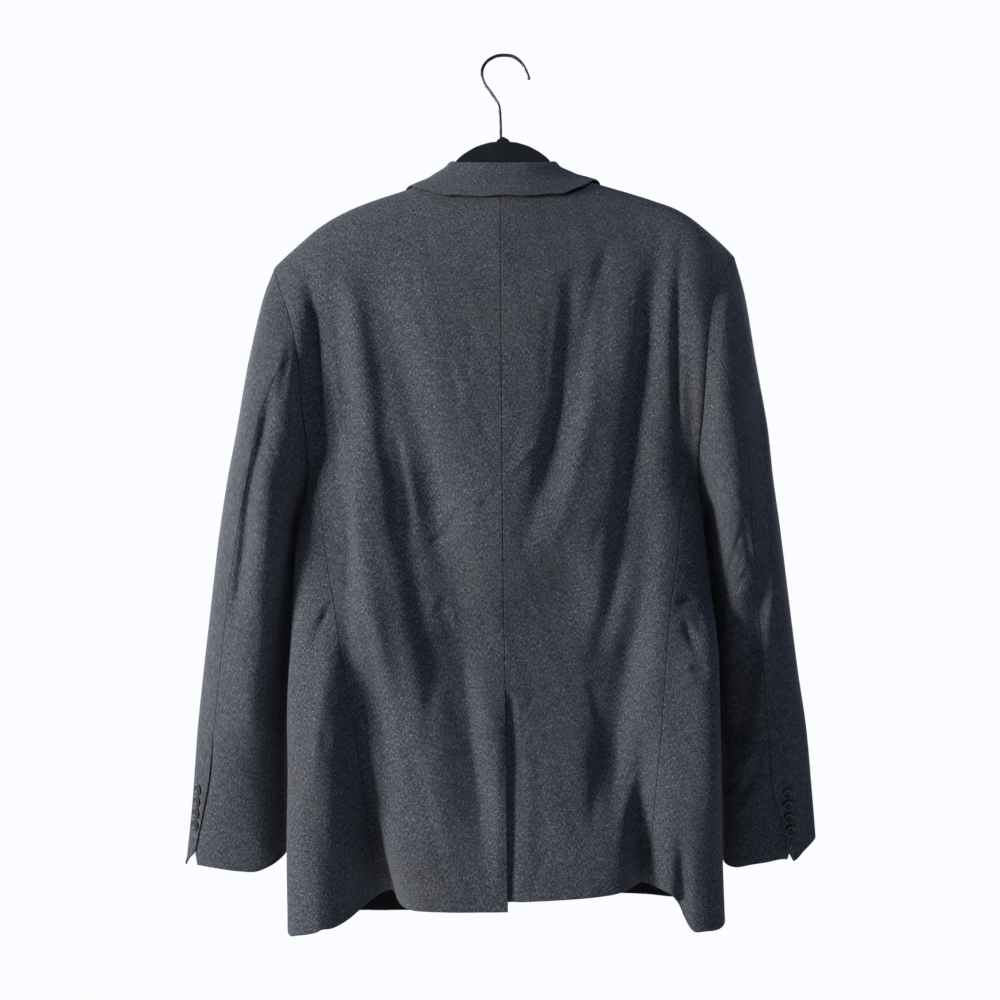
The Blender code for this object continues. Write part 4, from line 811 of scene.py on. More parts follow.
def on_body(side, girth, drop):
    """Points of the body's outer face and their outward normals."""
    return body_point(side, girth, drop), body_normal(side, girth, drop)


def ridge_normal(side, x):
    """Upward normal of the shoulder line."""
    rise = on_side(SHOULDER, side, x + EPSILON) - on_side(SHOULDER, side, x - EPSILON)
    return unit(stacked(side * rise / (2 * EPSILON), 0.0, 1.0))


def drop_over(side, x, y):
    """Drop of the body's outer face at a place seen from above, near the shoulders, found in a
    few rounds, because the body's section depends on the drop."""
    ridge = on_side(SHOULDER, side, np.abs(x))
    drop = ridge + FIRST_GUESS
    for _ in range(ROUNDS):
        width, back, front = body_section(side, drop)
        depth = np.where(y >= 0, back, front)
        depth = depth * (1 - np.abs(x / width) ** SECTION_POWER) ** (1 / SECTION_POWER)
        ratio = np.clip(np.abs(y) / depth, 0.0, 0.98) ** (1 / SHOULDER_FULLNESS)
        drop = ridge + SHOULDER_ROUND * (1 - np.sqrt(1 - ratio**2))
    return drop


def over_body(side, x, y, lie):
    """Points that lie a little above the body, at a place seen from above."""
    drop = drop_over(side, x, y)
    slope_x = (drop_over(side, x + EPSILON, y) - drop_over(side, x - EPSILON, y)) / (2 * EPSILON)
    slope_y = (drop_over(side, x, y + EPSILON) - drop_over(side, x, y - EPSILON)) / (2 * EPSILON)
    normal = unit(stacked(slope_x, slope_y, 1.0))
    return (stacked(x, y, -drop) + np.asarray(lie)[..., None] * normal) * np.array([side, 1, 1])


# ---------------------------------------------------------------- the armhole


def armhole_top(side):
    """Drop of the shoulder line where the armhole meets it."""
    x = on_side(ARMHOLE_EDGE, side, 0.0) - side * BODY["centre"][0]
    return float(on_side(SHOULDER, side, x))


def armhole(side, angle):
    """The armhole's edge at an angle in degrees, from its top towards the back."""
    turn = np.radians(angle)
    top = armhole_top(side)
    fraction = (1 - np.cos(turn)) / 2
    drop = top + (ARMHOLE_BOTTOM - top) * fraction
    power = 1.0 - ARMHOLE_SQUARENESS * fraction
    y = ARMHOLE_DEPTH * np.sign(np.sin(turn)) * np.abs(np.sin(turn)) ** power
    return stacked(side * on_side(ARMHOLE_EDGE, side, fraction), y, -drop)


def armhole_out(side, angle):
    """Direction away from the armhole's middle, shared by the body and the sleeve at the seam."""
    turn = np.radians(angle)
    lean = ARMHOLE_LEAN * np.clip(np.cos(turn), 0.0, 1.0)
    return unit(stacked(side * lean, np.sin(turn), np.cos(turn)))


def armhole_share(angle):
    """How much of that direction the walls take: all at the top, none below."""
    return ramp((np.cos(np.radians(angle)) + SHARE_START) / SHARE_RAMP)[..., None]


def armhole_step(side, angle, face):
    """From the body's own surface to the armhole's edge, and the girth where it is met."""
    edge = armhole(side, angle)
    drop = -edge[..., 2]
    centre = smooth(BODY, "centre", drop)
    girth = girth_of(side, side * (edge[..., 0] - centre), drop, face)
    return edge - body_point(side, girth, drop), girth, drop


def seam_girth(side, drop, face):
    """Girth of a side seam at a drop, as its table has it."""
    prefix = "back_" if face > 0 else "front_"
    return girth_of(side, on_side(SEAMS, side, drop, prefix), drop, face)


def junction(side, face):
    """Where a side seam meets the armhole: its step, girth and drop."""
    step, girth, drop = armhole_step(side, np.array([face * SEAM_ANGLE]), face)
    return step[0], girth[0], drop[0]


def seam_fade(below):
    """1 at the armhole and 0 from SEAM_FADE below it, where its edge's shape has faded out."""
    return np.clip(1 - below / SEAM_FADE, 0.0, 1.0) ** 2


def seam_line(side, drop, face):
    """Girth of a side seam, which starts at the armhole."""
    _, start, top = junction(side, face)
    table_start = seam_girth(side, np.array(top), face)
    return seam_girth(side, drop, face) + (start - table_start) * seam_fade(drop - top)


def seam_rows(side, face):
    """Points down a side seam, as (girth, drop), from the armhole to the hem."""
    start = junction(side, face)[2]
    near_hem = np.array(BACK_SEAM_END if face > 0 else FRONT_SEAM_END)
    end = hem_drop(side, seam_girth(side, near_hem, face))
    drop = np.linspace(start, end, SEAM_ROWS)
    return stacked(seam_line(side, drop, face), drop)


# ---------------------------------------------------------------- panels


def blend_patch(top, bottom, inner, outer):
    """Fills four edges, each a row of (girth, drop), with a smooth patch, and gives its girths
    and its drops. The first axis runs from the inner to the outer edge, the second from the top
    to the bottom."""
    across = np.linspace(0.0, 1.0, len(top))[:, None, None]
    down = np.linspace(0.0, 1.0, len(inner))[None, :, None]
    ruled = (1 - down) * top[:, None] + down * bottom[:, None]
    ruled = ruled + (1 - across) * inner[None] + across * outer[None]
    corners = (1 - across) * ((1 - down) * top[0] + down * bottom[0])
    corners = corners + across * ((1 - down) * top[-1] + down * bottom[-1])
    return np.moveaxis(ruled - corners, -1, 0)


def pull_in(points, sides):
    """Draws the named edges in by half of the gap at a seam."""
    half = SEAM_GAP / 2
    for name, line, beside in (
        ("inner", points[0], points[1]),
        ("outer", points[-1], points[-2]),
        ("top", points[:, 0], points[:, 1]),
    ):
        if name in sides:
            line += half * unit(beside - line)
    return points


def hem_drop(side, girth):
    """Drop of the hem at a girth."""
    width, back, front = body_section(side, np.array(BACK_SEAM_END))
    return on_side(HEM, side, girth / (2 * width + back + front))


def hem_line(side, inner, outer, columns):
    """A panel's lower edge along the hem, between the lower ends of its two sides."""
    girth = np.linspace(inner[-1, 0], outer[-1, 0], columns)
    line = stacked(girth, hem_drop(side, np.maximum(girth, 0.0)))
    line[0], line[-1] = inner[-1], outer[-1]
    return line


def shoulder_line(side, count):
    """Points along the shoulder seam, as (distance from the centre line, drop)."""
    end = on_side(ARMHOLE_EDGE, side, 0.0) - side * BODY["centre"][0]
    x = np.linspace(NECK_X, end, count)
    return stacked(x, on_side(SHOULDER, side, x))


def outer_edge(side, face):
    """A panel's outer edge: the armhole from its top, then the side seam, and the angles of the
    armhole's points."""
    angles = np.arange(0.0, SEAM_ANGLE + ARMHOLE_STEP / 2, ARMHOLE_STEP)
    _, girth, drop = armhole_step(side, face * angles, face)
    return np.concatenate([stacked(girth, drop), seam_rows(side, face)[1:]]), angles


def back_edges(side):
    """The back's four edges as (girth, drop), and the armhole's angles down its outer edge."""
    turn = np.linspace(0.0, math.pi / 2, NECK_COLUMNS + 1)[:-1]
    neck_x, neck_y = NECK_X * np.sin(turn), NECK_BACK * np.cos(turn)
    neck = stacked(neck_x, drop_over(side, neck_x, neck_y))
    top = np.concatenate([neck, shoulder_line(side, BACK_COLUMNS - NECK_COLUMNS)])
    top[:, 0] = girth_of(side, top[:, 0], top[:, 1], 1)
    outer, angles = outer_edge(side, 1)
    top[-1] = outer[0]
    level = (1 - np.cos(np.radians(angles))) / (1 - math.cos(math.radians(SEAM_ANGLE)))
    middle = junction(side, 1)[2]
    inner_drop = np.concatenate([
        top[0, 1] + (middle - top[0, 1]) * level,
        np.linspace(middle, hem_drop(side, 0.0), SEAM_ROWS)[1:],
    ])
    lap = 0.0
    if side == RIGHT:
        start = VENT_TOP + VENT_UNDERLAP_START
        lap = -VENT_UNDERLAP * ramp((inner_drop - start) / VENT_UNDERLAP_RAMP)
    inner = stacked(lap, inner_drop)
    return top, hem_line(side, inner, outer, BACK_COLUMNS), inner, outer, angles


def share_edges(side, points, normals, neck_columns, angles, face):
    """Gives a panel's shoulder and armhole edges the directions that their neighbours take, and
    draws its outer columns to the armhole's edge."""
    count = len(angles)
    steps = np.zeros((points.shape[1], 3))
    steps[:count] = armhole_step(side, face * angles, face)[0]
    junction_step, _, junction_drop = junction(side, face)
    below = -points[-1, count:, 2] - junction_drop
    steps[count:] = junction_step * seam_fade(below)[:, None]
    weight = np.linspace(0.0, 1.0, len(points)) ** STEP_POWER
    points[:, 1:] += weight[:, None, None] * steps[None, 1:]
    points[-1, 0] += steps[0]
    points[neck_columns:, 0, 1] = 0.0
    normals[neck_columns:, 0] = ridge_normal(side, np.abs(points[neck_columns:, 0, 0]))
    share_armhole(side, normals[-1, :count], face * angles)
    return points, normals


def share_armhole(side, normals, angles):
    """Turns the normals along an armhole's edge towards the direction that both sides share."""
    share = armhole_share(angles)
    normals[:] = unit(share * armhole_out(side, angles) + (1 - share) * normals)


def back_panel(side):
    """The back: centre seam and vent inside, armhole and side seam outside."""
    *edges, angles = back_edges(side)
    points, normals = on_body(side, *blend_patch(*edges))
    points, normals = share_edges(side, points, normals, NECK_COLUMNS, angles, 1)
    return pull_in(points, ("inner", "outer", "top")), normals


def front_inner_edge(side, rows):
    """Down the neck seam, the roll line, the straight edge and round the lower corner."""
    down = np.linspace(0.0, 1.0, NECK_ROWS + 1) ** NECK_CURVE
    start = on_side(SHOULDER, side, NECK_X)
    hem = on_side(HEM, side, 1.0)
    corner_rows = rows - NECK_ROWS - ROLL_ROWS - EDGE_ROWS - 1
    turn = np.linspace(0.0, math.pi / 2, corner_rows + 1)[1:]
    drop = np.concatenate([
        start + (GORGE_DROP - start) * down,
        np.linspace(GORGE_DROP, BREAK_DROP, ROLL_ROWS + 1)[1:],
        np.linspace(BREAK_DROP, hem - CORNER_RADIUS, EDGE_ROWS + 1)[1:],
        hem - CORNER_RADIUS + CORNER_RADIUS * np.sin(turn),
    ])
    x = np.concatenate([
        NECK_X + (GORGE_X - NECK_X) * down,
        np.linspace(GORGE_X, BREAK_X, ROLL_ROWS + 1)[1:],
        np.full(EDGE_ROWS, BREAK_X),
        BREAK_X + CORNER_RADIUS * (1 - np.cos(turn)),
    ])
    return stacked(girth_of(side, x, drop, -1), drop)


def front_panel(side):
    """The front: neck, roll line and buttoning edge inside, armhole and side seam outside."""
    outer, angles = outer_edge(side, -1)
    inner = front_inner_edge(side, len(outer))
    top = shoulder_line(side, FRONT_COLUMNS)
    top[:, 0] = girth_of(side, top[:, 0], top[:, 1], -1)
    top[0], top[-1] = inner[0], outer[0]
    bottom = hem_line(side, inner, outer, FRONT_COLUMNS)
    points, normals = on_body(side, *blend_patch(top, bottom, inner, outer))
    points, normals = share_edges(side, points, normals, 0, angles, -1)
    return pull_in(points, ("outer", "top")), normals


def side_panel(side):
    """The side panel: from the bottom of the armhole down between back and front."""
    angles = np.arange(SEAM_ANGLE, 360 - SEAM_ANGLE + ARMHOLE_STEP / 2, ARMHOLE_STEP)
    edge = armhole(side, angles)
    inner, outer = seam_rows(side, 1), seam_rows(side, -1)
    top = stacked(np.linspace(inner[0, 0], outer[0, 0], len(angles)), -edge[:, 2])
    steps = edge - body_point(side, top[:, 0], top[:, 1])
    bottom = hem_line(side, inner, outer, len(angles))
    points, normals = on_body(side, *blend_patch(top, bottom, inner, outer))
    below = -points[..., 2] - top[:, None, 1]
    points += seam_fade(below)[..., None] * steps[:, None]
    points[:, 0] += UNDERARM_EASE * unit(points[:, 1] - points[:, 0])
    return pull_in(points, ("inner", "outer", "top")), normals


# ---------------------------------------------------------------- sleeves


def sleeve_point(side, station, angle):
    """The sleeve's outer face: an oval at each station, which starts as the armhole's edge."""
    station, angle = np.broadcast_arrays(np.asarray(station, float), np.asarray(angle, float))
    turn = np.radians(angle)

    def oval(at):
        outer, inner = (
            stacked(side * on_side(SLEEVE, side, at, edge), -smooth(SLEEVE, edge + "drop", at))
            for edge in ("outer_", "inner_")
        )
        flat = (outer + inner) / 2 + (outer - inner) / 2 * np.cos(turn)[..., None]
        sine = np.sin(turn)
        y = smooth(SLEEVE, "depth", at) * np.sign(sine) * np.abs(sine) ** SLEEVE_POWER
        return stacked(flat[..., 0], smooth(SLEEVE, "centre", at) + y, flat[..., 1])

    point = oval(station)
    start = np.clip(1 - station / SLEEVE_HEAD, 0.0, 1.0) ** 2
    point = point + start[..., None] * (armhole(side, angle) - oval(np.zeros_like(station)))
    turned = (angle - FRONT_SEAM_ANGLE) % 360 + FRONT_SEAM_ANGLE
    hem = -on_side(CUFF, side, turned)
    end = np.clip((station - CUFF_START) / (1 - CUFF_START), 0.0, 1.0)
    above = oval(np.minimum(station, CUFF_START))[..., 2]
    point[..., 2] = np.where(end > 0, above + end * (hem - above), point[..., 2])
    return point


def sleeve_normal(side, station, angle):
    """Outward normal of the sleeve's outer face, by finite differences."""
    def change(along, turn):
        return (sleeve_point(side, station + along, angle + turn)
                - sleeve_point(side, station - along, angle - turn))

    return unit(side * np.cross(change(STATION_STEP, 0.0), change(0.0, ANGLE_STEP)))


def sleeve_piece(side, on_top):
    """One of the sleeve's two pieces. The top one runs from the front seam over the outer edge
    to the back seam, and the under one on round the inner edge. The top one laps over the other
    one's edge at the vent."""
    stations = np.linspace(0.0, 1.0, SLEEVE_ROWS) ** SLEEVE_CROWDING
    back_seam = on_side(SLEEVE_SEAM, side, stations)
    opens, top_corner, under_corner = CUFF_VENT[side]
    open_at = np.clip((stations - opens) / (1 - opens), 0.0, 1.0)
    lap = ramp((stations - CUFF_LAP_START) / CUFF_LAP_RAMP)
    if on_top:
        start, end = FRONT_SEAM_ANGLE, back_seam - top_corner * open_at
    else:
        start = back_seam + under_corner * open_at - CUFF_LAP_UNDER * lap
        end = FRONT_SEAM_ANGLE + 360
    columns = SLEEVE_TOP_COLUMNS if on_top else SLEEVE_UNDER_COLUMNS
    angles = start + (end - start) * np.linspace(0.0, 1.0, columns)[:, None]
    points = sleeve_point(side, stations[None], angles)
    inside = np.clip(stations, STATION_STEP, 1 - STATION_STEP)[None]
    normals = sleeve_normal(side, inside, angles)
    rise, reach = CUFF_LAP[not on_top], CUFF_LAP_REACH[not on_top]
    from_edge = end - angles if on_top else angles - start
    points += (rise * lap * np.exp(-((from_edge / reach) ** 2)))[..., None] * normals
    share_armhole(side, normals[:, 0], angles[:, 0])
    return pull_in(points, ("inner", "outer", "top")), normals


# ---------------------------------------------------------------- collar and lapels


def grid_normals(points, facing):
    """Normals of a grid of points, by the differences of its rows and columns."""
    return facing * unit(np.cross(np.gradient(points, axis=0), np.gradient(points, axis=1)))


def neck_seam(side, stations):
    """Points and outward normals of the panels' own neckline, read at the collar's stations."""
    knots = np.concatenate([
        np.linspace(0.0, COLLAR_SHOULDER, NECK_COLUMNS + 1),
        np.linspace(COLLAR_SHOULDER, 1.0, NECK_ROWS + 1)[1:],
    ])

    def read(of_back, of_front):
        line = np.concatenate([of_back[: NECK_COLUMNS + 1, 0], of_front[0, 1 : NECK_ROWS + 1]])
        return stacked(*(np.interp(stations, knots, values) for values in line.T))

    points, normals = map(read, back_panel(side), front_panel(side))
    return points, unit(normals)


def collar_flatness(stations):
    """0 where the collar stands up round the neck, 1 where it lies flat at its front end."""
    return ramp((stations - COLLAR_FLAT_START) / COLLAR_FLAT_RAMP)[:, None]


def collar_half(side, stations):
    """Half of the collar: rows of points from the neck seam over the fold to the outer edge. At
    the front end the stand runs out, and the fold wraps the front's edge like the lapel's."""
    def column(name):
        return smooth(COLLAR, name, stations)

    seam, normal = neck_seam(side, stations)
    across = unit(np.cross(np.gradient(seam, axis=0), normal))
    across *= np.sign(np.sum(across * np.array([side, 0.0, -1.0]), axis=-1, keepdims=True))
    roll = stacked(side * column("roll_x"), column("roll_y"), -column("roll_drop"))
    from_shoulder = np.abs(stations - COLLAR_SHOULDER)
    over_edge = COLLAR_OVER_EDGE * ramp(1 - from_shoulder / COLLAR_OVER_REACH)
    lift = COLLAR_LIFT[side] - COLLAR_LIFT[0]
    lift = COLLAR_LIFT[0] + lift * ramp(stations / COLLAR_LIFT_RAMP)
    lift *= 1 - COLLAR_LOWERING * ramp((stations - COLLAR_LOWERS) / COLLAR_LOWERS_RAMP)
    leaf = over_body(side, column("leaf_x"), column("leaf_y"), LIE + over_edge + lift)
    middle = over_body(side, column("middle_x"), column("middle_y"), LIE + over_edge)
    outwards = unit((leaf - roll) * np.array([1.0, 1.0, 0.0]))
    down = COLLAR_FOLD_DROP * np.array([0.0, 0.0, -1.0])
    start = seam - CLOTH * normal - SEAM_GAP * across
    stand_top = roll - COLLAR_ROLL * COLLAR_ROLL_INSIDE * outwards + down
    fall_top = roll + COLLAR_ROLL * outwards + down
    standing = (start, (start + stand_top) / 2, stand_top, roll, fall_top)
    wrapped = [seam + along * across + above * normal for along, above in COLLAR_WRAP]
    flat = collar_flatness(stations)
    start, stand, stand_top, roll, fall_top = (
        (1 - flat) * a + flat * b for a, b in zip(standing, wrapped)
    )
    chord = (fall_top + leaf) / 2
    arch = np.maximum(chord - middle, 0.0) * np.array([0.0, 0.0, COLLAR_ARCH])
    middle = middle + (1 - flat) * arch
    upper = (fall_top + middle) / 2 + COLLAR_BULGE[0] * normal
    lower = (middle + leaf) / 2 + COLLAR_BULGE[1] * normal
    rows = [start, stand, stand_top, roll, fall_top, upper, middle, lower, leaf]
    return fair(np.stack(rows, axis=1), COLLAR_ROWS), normal


def collar():
    """The collar in one piece round the neck: the stand faces the neck, and the fall lies out.
    Near the centre line the distance t, as a share of COLLAR_CENTRE, is taken as
    (3 + 6 t^2 - t^4) / 8, so the two halves pass into each other without a kink."""
    stations = np.linspace(0.0, 1.0, COLLAR_COLUMNS)
    left, left_normal = collar_half(LEFT, stations)
    right, right_normal = collar_half(RIGHT, stations)
    points = np.concatenate([right[::-1], left[1:]])
    middle = (left[0] + right[0]) / 2
    points[len(right) - 1] = middle
    slope = ((left[3] + right[3]) / 2 - middle) / left[3, :, :1]
    slope *= ramp(np.arange(COLLAR_ROWS) / COLLAR_CENTRE_ROWS)[:, None] * np.array([0.0, 1.0, 1.0])
    near = np.minimum(np.abs(points[..., :1]) / COLLAR_CENTRE, 1.0)
    points += COLLAR_CENTRE * ((3 + 6 * near**2 - near**4) / 8 - near) * slope
    normals = grid_normals(points, 1)
    seam_normals = np.concatenate([right_normal[::-1], left_normal[1:]])
    stations_round = np.concatenate([stations[::-1], stations[1:]])
    flat = collar_flatness(stations_round)
    normals[:, 0] = unit(flat * normals[:, 0] - (1 - flat) * seam_normals)
    return points, normals


def lapel(side):
    """The lapel: from the roll line out over the front, on the front's own points moved out. Its
    outer edge runs from the tip towards the break and bows out by half a sine wave."""
    along = np.linspace(0.0, 1.0, LAPEL_ROWS)
    first, last = GORGE_DROP + LAPEL_BELOW_GORGE, BREAK_DROP - LAPEL_END[side]
    inner_drop = first + (last - first) * along
    fraction = (inner_drop - GORGE_DROP) / (BREAK_DROP - GORGE_DROP)
    inner_x = GORGE_X + (BREAK_X - GORGE_X) * fraction
    tip_x, tip_drop = LAPEL_TIP
    down = along * fraction[-1]
    outer_x = tip_x + (BREAK_X + LAPEL_END_WIDTH - tip_x) * down
    outer_x = outer_x + LAPEL_BELLY * np.sin(math.pi * np.minimum(down, 1.0))
    outer_drop = tip_drop + (BREAK_DROP - tip_drop) * down
    rolled = np.array(LAPEL_ROLL)
    flat = np.linspace(0.0, 1.0, LAPEL_CONTROLS - len(rolled) + 1)[1:]
    width = (outer_x - inner_x)[:, None]
    across = np.concatenate([
        np.broadcast_to(rolled[:, 0], (LAPEL_ROWS, len(rolled))),
        rolled[-1, 0] + (width - rolled[-1, 0]) * flat,
    ], axis=1)
    lie = np.concatenate([rolled[:, 1], rolled[-1, 1] + (LAPEL_EDGE_LIE - rolled[-1, 1]) * flat])
    x = inner_x[:, None] + across
    drop = inner_drop[:, None] + (outer_drop - inner_drop)[:, None] * (across / width)
    points, normals = on_body(side, girth_of(side, x, drop, -1), drop)
    points = fair(points + lie[:, None] * normals, LAPEL_COLUMNS)
    return points, grid_normals(points, side)


# ---------------------------------------------------------------- creases and shells


def fair(points, count):
    """A smooth surface through a few rows of points: each coordinate runs along the second axis
    as a cubic, at equal steps of the mean distance."""
    step = np.linalg.norm(np.diff(points, axis=1), axis=-1).mean(axis=0)
    key = np.concatenate([[0.0], np.cumsum(step)])
    at = np.linspace(0.0, key[-1], count)
    return np.ascontiguousarray(np.swapaxes(cubic(key, np.swapaxes(points, 0, 1), at), 0, 1))


def crease_depth(points, strokes):
    """Sum of the creases. Each follows a smooth curve through its own points. Across it, the depth
    falls off as exp(-q^2), with q the distance in half widths, and along it the depth rises and
    falls with level ends."""
    place = stacked(points[..., 0], -points[..., 2])
    total = np.zeros(place.shape[:-1])
    t = np.linspace(0.0, 1.0, STROKE_POINTS)
    for depth, wide, narrow, path in strokes:
        path = np.array(path, dtype=float)
        line = cubic(np.linspace(0.0, 1.0, len(path)), path, t)
        reach = STROKE_REACH * max(wide, narrow)
        near = (place > line.min(axis=0) - reach) & (place < line.max(axis=0) + reach)
        near = near.all(axis=-1)
        if not near.any():
            continue
        away = place[near][:, None] - line
        i = np.argmin(away[..., 0] ** 2 + away[..., 1] ** 2, axis=1)
        away_x, away_drop = away[np.arange(len(i)), i].T
        along_x, along_drop = np.gradient(line, axis=0)[i].T
        length = np.hypot(along_x, along_drop)
        across = (away_x * along_drop - away_drop * along_x) / length
        forward = (away_x * along_x + away_drop * along_drop) / length**2
        at = t[i] + forward * (t[1] - t[0])
        q = across / np.where(across > 0, wide, narrow)
        level = ramp(at / STROKE_ENDS) * ramp((1 - at) / STROKE_ENDS)
        total[near] += depth * np.exp(-(q**2)) * level
    return total


def unevenness(points):
    """The cloth's own small unevenness: a few sine waves that cross at odd angles, between 14 and
    90 mm long and up to 0.3 mm high."""
    x, y, z = points[..., 0], points[..., 1], points[..., 2]
    total = np.zeros(x.shape)
    for high, long, ax, ay, az, phase in WAVES:
        total += high * np.sin(2 * math.pi * (ax * x + ay * y + az * z) / long + phase)
    return total


def away_from_armhole(side, points):
    """0 on the armhole's seam, where two pieces must meet, and 1 from a little way off."""
    seam = armhole(side, np.arange(0.0, 360.0, 2 * ARMHOLE_STEP))
    gap = np.linalg.norm(points[..., None, :] - seam, axis=-1).min(axis=-1)
    return ramp(gap / CREASE_START)


def draped(side, points, normals, strokes, facing):
    """Pushes a grid straight in or out, front to back, by its creases, on the face that they
    belong to."""
    share = bpy.context.scene.blazer_sizes.creases
    mask = ramp(facing * normals[..., 1] * FACE_FADE) * away_from_armhole(side, points)
    depth = mask * (share * crease_depth(points, strokes) + unevenness(points))
    if facing > 0:
        on_back = ramp((points[..., 1] - ARMHOLE_CREASE_Y) / ARMHOLE_CREASE_RAMP)
        depth += share * on_back * crease_depth(points, ARMHOLE_CREASES)
    return points - depth[..., None] * np.array([0.0, facing, 0.0])


def split_cells(grids):
    """Adds lines of points beside the first line of each grid, at set distances from it, by
    straight division of the outermost cells."""
    length = np.linalg.norm(grids[0][1] - grids[0][0], axis=-1)
    shares = [np.minimum(d / np.maximum(length, 1e-6), EDGE_SHARE * (k + 1))[:, None]
              for k, d in enumerate(EDGE_LINES)]
    return [
        np.concatenate([grid[:1], [grid[0] + s * (grid[1] - grid[0]) for s in shares], grid[1:]])
        for grid in grids
    ]


def at_each_edge(grids, change):
    """Runs a change on each of the four edges, turned to be the first line."""
    for axis in (0, 1):
        for backwards in (False, True):
            turned = [np.swapaxes(grid, 0, axis) for grid in grids]
            turned = [grid[::-1] if backwards else grid for grid in turned]
            turned = change(turned)
            turned = [grid[::-1] if backwards else grid for grid in turned]
            grids = [np.swapaxes(grid, 0, axis) for grid in turned]
    return grids


def edge_distance(points):
    """Distance of each point from the nearest edge, measured along the grid's own lines near it."""
    far = np.full(points.shape[:2] + (1,), 1e3)

    def nearest(grids):
        line, away = grids
        away = away.copy()
        for k in range(len(EDGE_LINES) + 1):
            reach = np.linalg.norm(line[k] - line[0], axis=-1)[:, None]
            away[k] = np.minimum(away[k], reach)
        return [line, away]

    return at_each_edge([points, far], nearest)[1][..., 0]


def surface_lengths(points):
    """Distance across and down the cloth from its first corner, for the direction of its
    threads."""
    across = np.linalg.norm(np.diff(points, axis=0), axis=-1)
    down = np.linalg.norm(np.diff(points, axis=1), axis=-1)
    u = np.concatenate([np.zeros((1, points.shape[1])), np.cumsum(across, axis=0)])
    v = np.concatenate([np.zeros((points.shape[0], 1)), np.cumsum(down, axis=1)], axis=1)
    return stacked(u, v) * MM


def link_piece(name, mesh, materials, node_names):
    """Links a finished piece, which rides on the body and stands for its CAD nodes."""
    piece = bpy.data.objects.new(name, mesh)
    bpy.context.scene.collection.objects.link(piece)
    for item in materials:
        mesh.materials.append(item)
    mesh.shade_smooth()
    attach(piece, "root")
    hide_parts(*node_names)
    return piece


def mesh_from(name, points, faces, uv=None, inside=None, material_index=None):
    """A mesh of points in millimetres, with the cloth's own map and its mark of painted shade,
    which covers the inner face.
    """
    mesh = bpy.data.meshes.new(name)
    mesh.from_pydata((points * MM).tolist(), [], faces)
    if uv is not None:
        corner = np.empty(len(mesh.loops), dtype=np.int32)
        mesh.loops.foreach_get("vertex_index", corner)
        layer = mesh.uv_layers.new(name="Grain")
        layer.uv.foreach_set("vector", uv[corner].ravel())
    # The mark of painted shade, stored on each point, that the wool is darkened by.
    if inside is not None:
        painted_shade_mark = mesh.attributes.new("painted_shade_amount", "FLOAT", "POINT")
        painted_shade_mark.data.foreach_set("value", inside)
    if material_index is not None:
        mesh.polygons.foreach_set("material_index", material_index)
    if mesh.validate():
        raise RuntimeError(f"{name} has broken faces")
    return mesh


def shell(name, points, normals):
    """A closed cloth wall over a grid: the grid outside, the same grid moved in behind it, and a
    rim. Near each edge both faces sink along a quarter circle, so edges and seams are soft."""
    sizes = bpy.context.scene.blazer_sizes
    thickness, radius = sizes.cloth / MM, sizes.edge / MM
    grids = at_each_edge([points, normals, surface_lengths(points)], split_cells)
    points, normals, uv = grids[0], unit(grids[1]), grids[2]
    away = np.clip(radius - edge_distance(points), 0.0, radius)
    sink = (radius - np.sqrt(radius**2 - away**2))[..., None]
    columns, rows = points.shape[:2]
    outside = (points - sink * normals).reshape(-1, 3)
    inside = (points - (thickness - sink) * normals).reshape(-1, 3)
    count = len(outside)
    index = np.arange(count).reshape(columns, rows)
    cells = stacked(index[:-1, :-1], index[:-1, 1:], index[1:, 1:], index[1:, :-1]).reshape(-1, 4)
    ring = np.concatenate([index[:, 0], index[-1, 1:], index[-2::-1, -1], index[0, -2:0:-1]])
    after = np.roll(ring, -1)
    rim = stacked(ring, after, after + count, ring + count)
    faces = np.concatenate([cells, cells[:, ::-1] + count, rim])
    down, across = points[:-1, 1:] - points[:-1, :-1], points[1:, :-1] - points[:-1, :-1]
    if np.sum(np.cross(down, across) * normals[:-1, :-1]) < 0:
        faces = faces[:, ::-1]
    flat = uv.reshape(-1, 2)
    # Painted shade: 1 within EDGE_SHADE of each edge and seam, fading inwards, and 1 over the whole
    # inner face.
    shade = np.clip(1 - edge_distance(points) / EDGE_SHADE, 0.0, 1.0).reshape(-1)
    painted_shade_marks = np.concatenate([shade, np.ones(count)])
    return mesh_from(
        name, np.concatenate([outside, inside]), faces.tolist(), np.concatenate([flat, flat]), painted_shade_marks
    )


def add_cloth(node, points, normals, stem, rests_on):
    """One cloth piece in place of its CAD node."""
    mesh = shell(node + "_wool", points, normals)
    piece = link_piece(node + "_wool", mesh, [made_of(wool)], [node])


# ---------------------------------------------------------------- buttons


def cuff_seat(side, node):
    """Station and angle of the point of the sleeve's face that lies nearest to a node's middle,
    found on a grid of 1 mm."""
    middle = np.mean(np.array(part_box(node)), axis=0) / MM
    stations, angles = np.meshgrid(*(np.linspace(*span) for span in SEAT_SEARCH), indexing="ij")
    away = np.linalg.norm(sleeve_point(side, stations, angles) - middle, axis=-1)
    nearest = np.unravel_index(np.argmin(away), away.shape)
    return float(stations[nearest]), float(angles[nearest])


def button_section(radius, height):
    """Half of a button's section, from the middle of its face over the rim to the middle of its
    back: a flat dish, a rounded rim and a bevelled underside."""
    return np.array([
        (0.0, 0.60), (0.16, 0.60), (0.32, 0.605), (0.46, 0.62), (0.56, 0.66), (0.63, 0.75),
        (0.69, 0.87), (0.75, 0.96), (0.82, 1.0), (0.89, 0.97), (0.95, 0.88), (0.99, 0.73),
        (1.0, 0.58), (0.99, 0.42), (0.96, 0.24), (0.91, 0.09), (0.85, 0.01), (0.7, 0.0),
        (0.35, 0.0), (0.0, 0.0),
    ]) * np.array([radius, height])


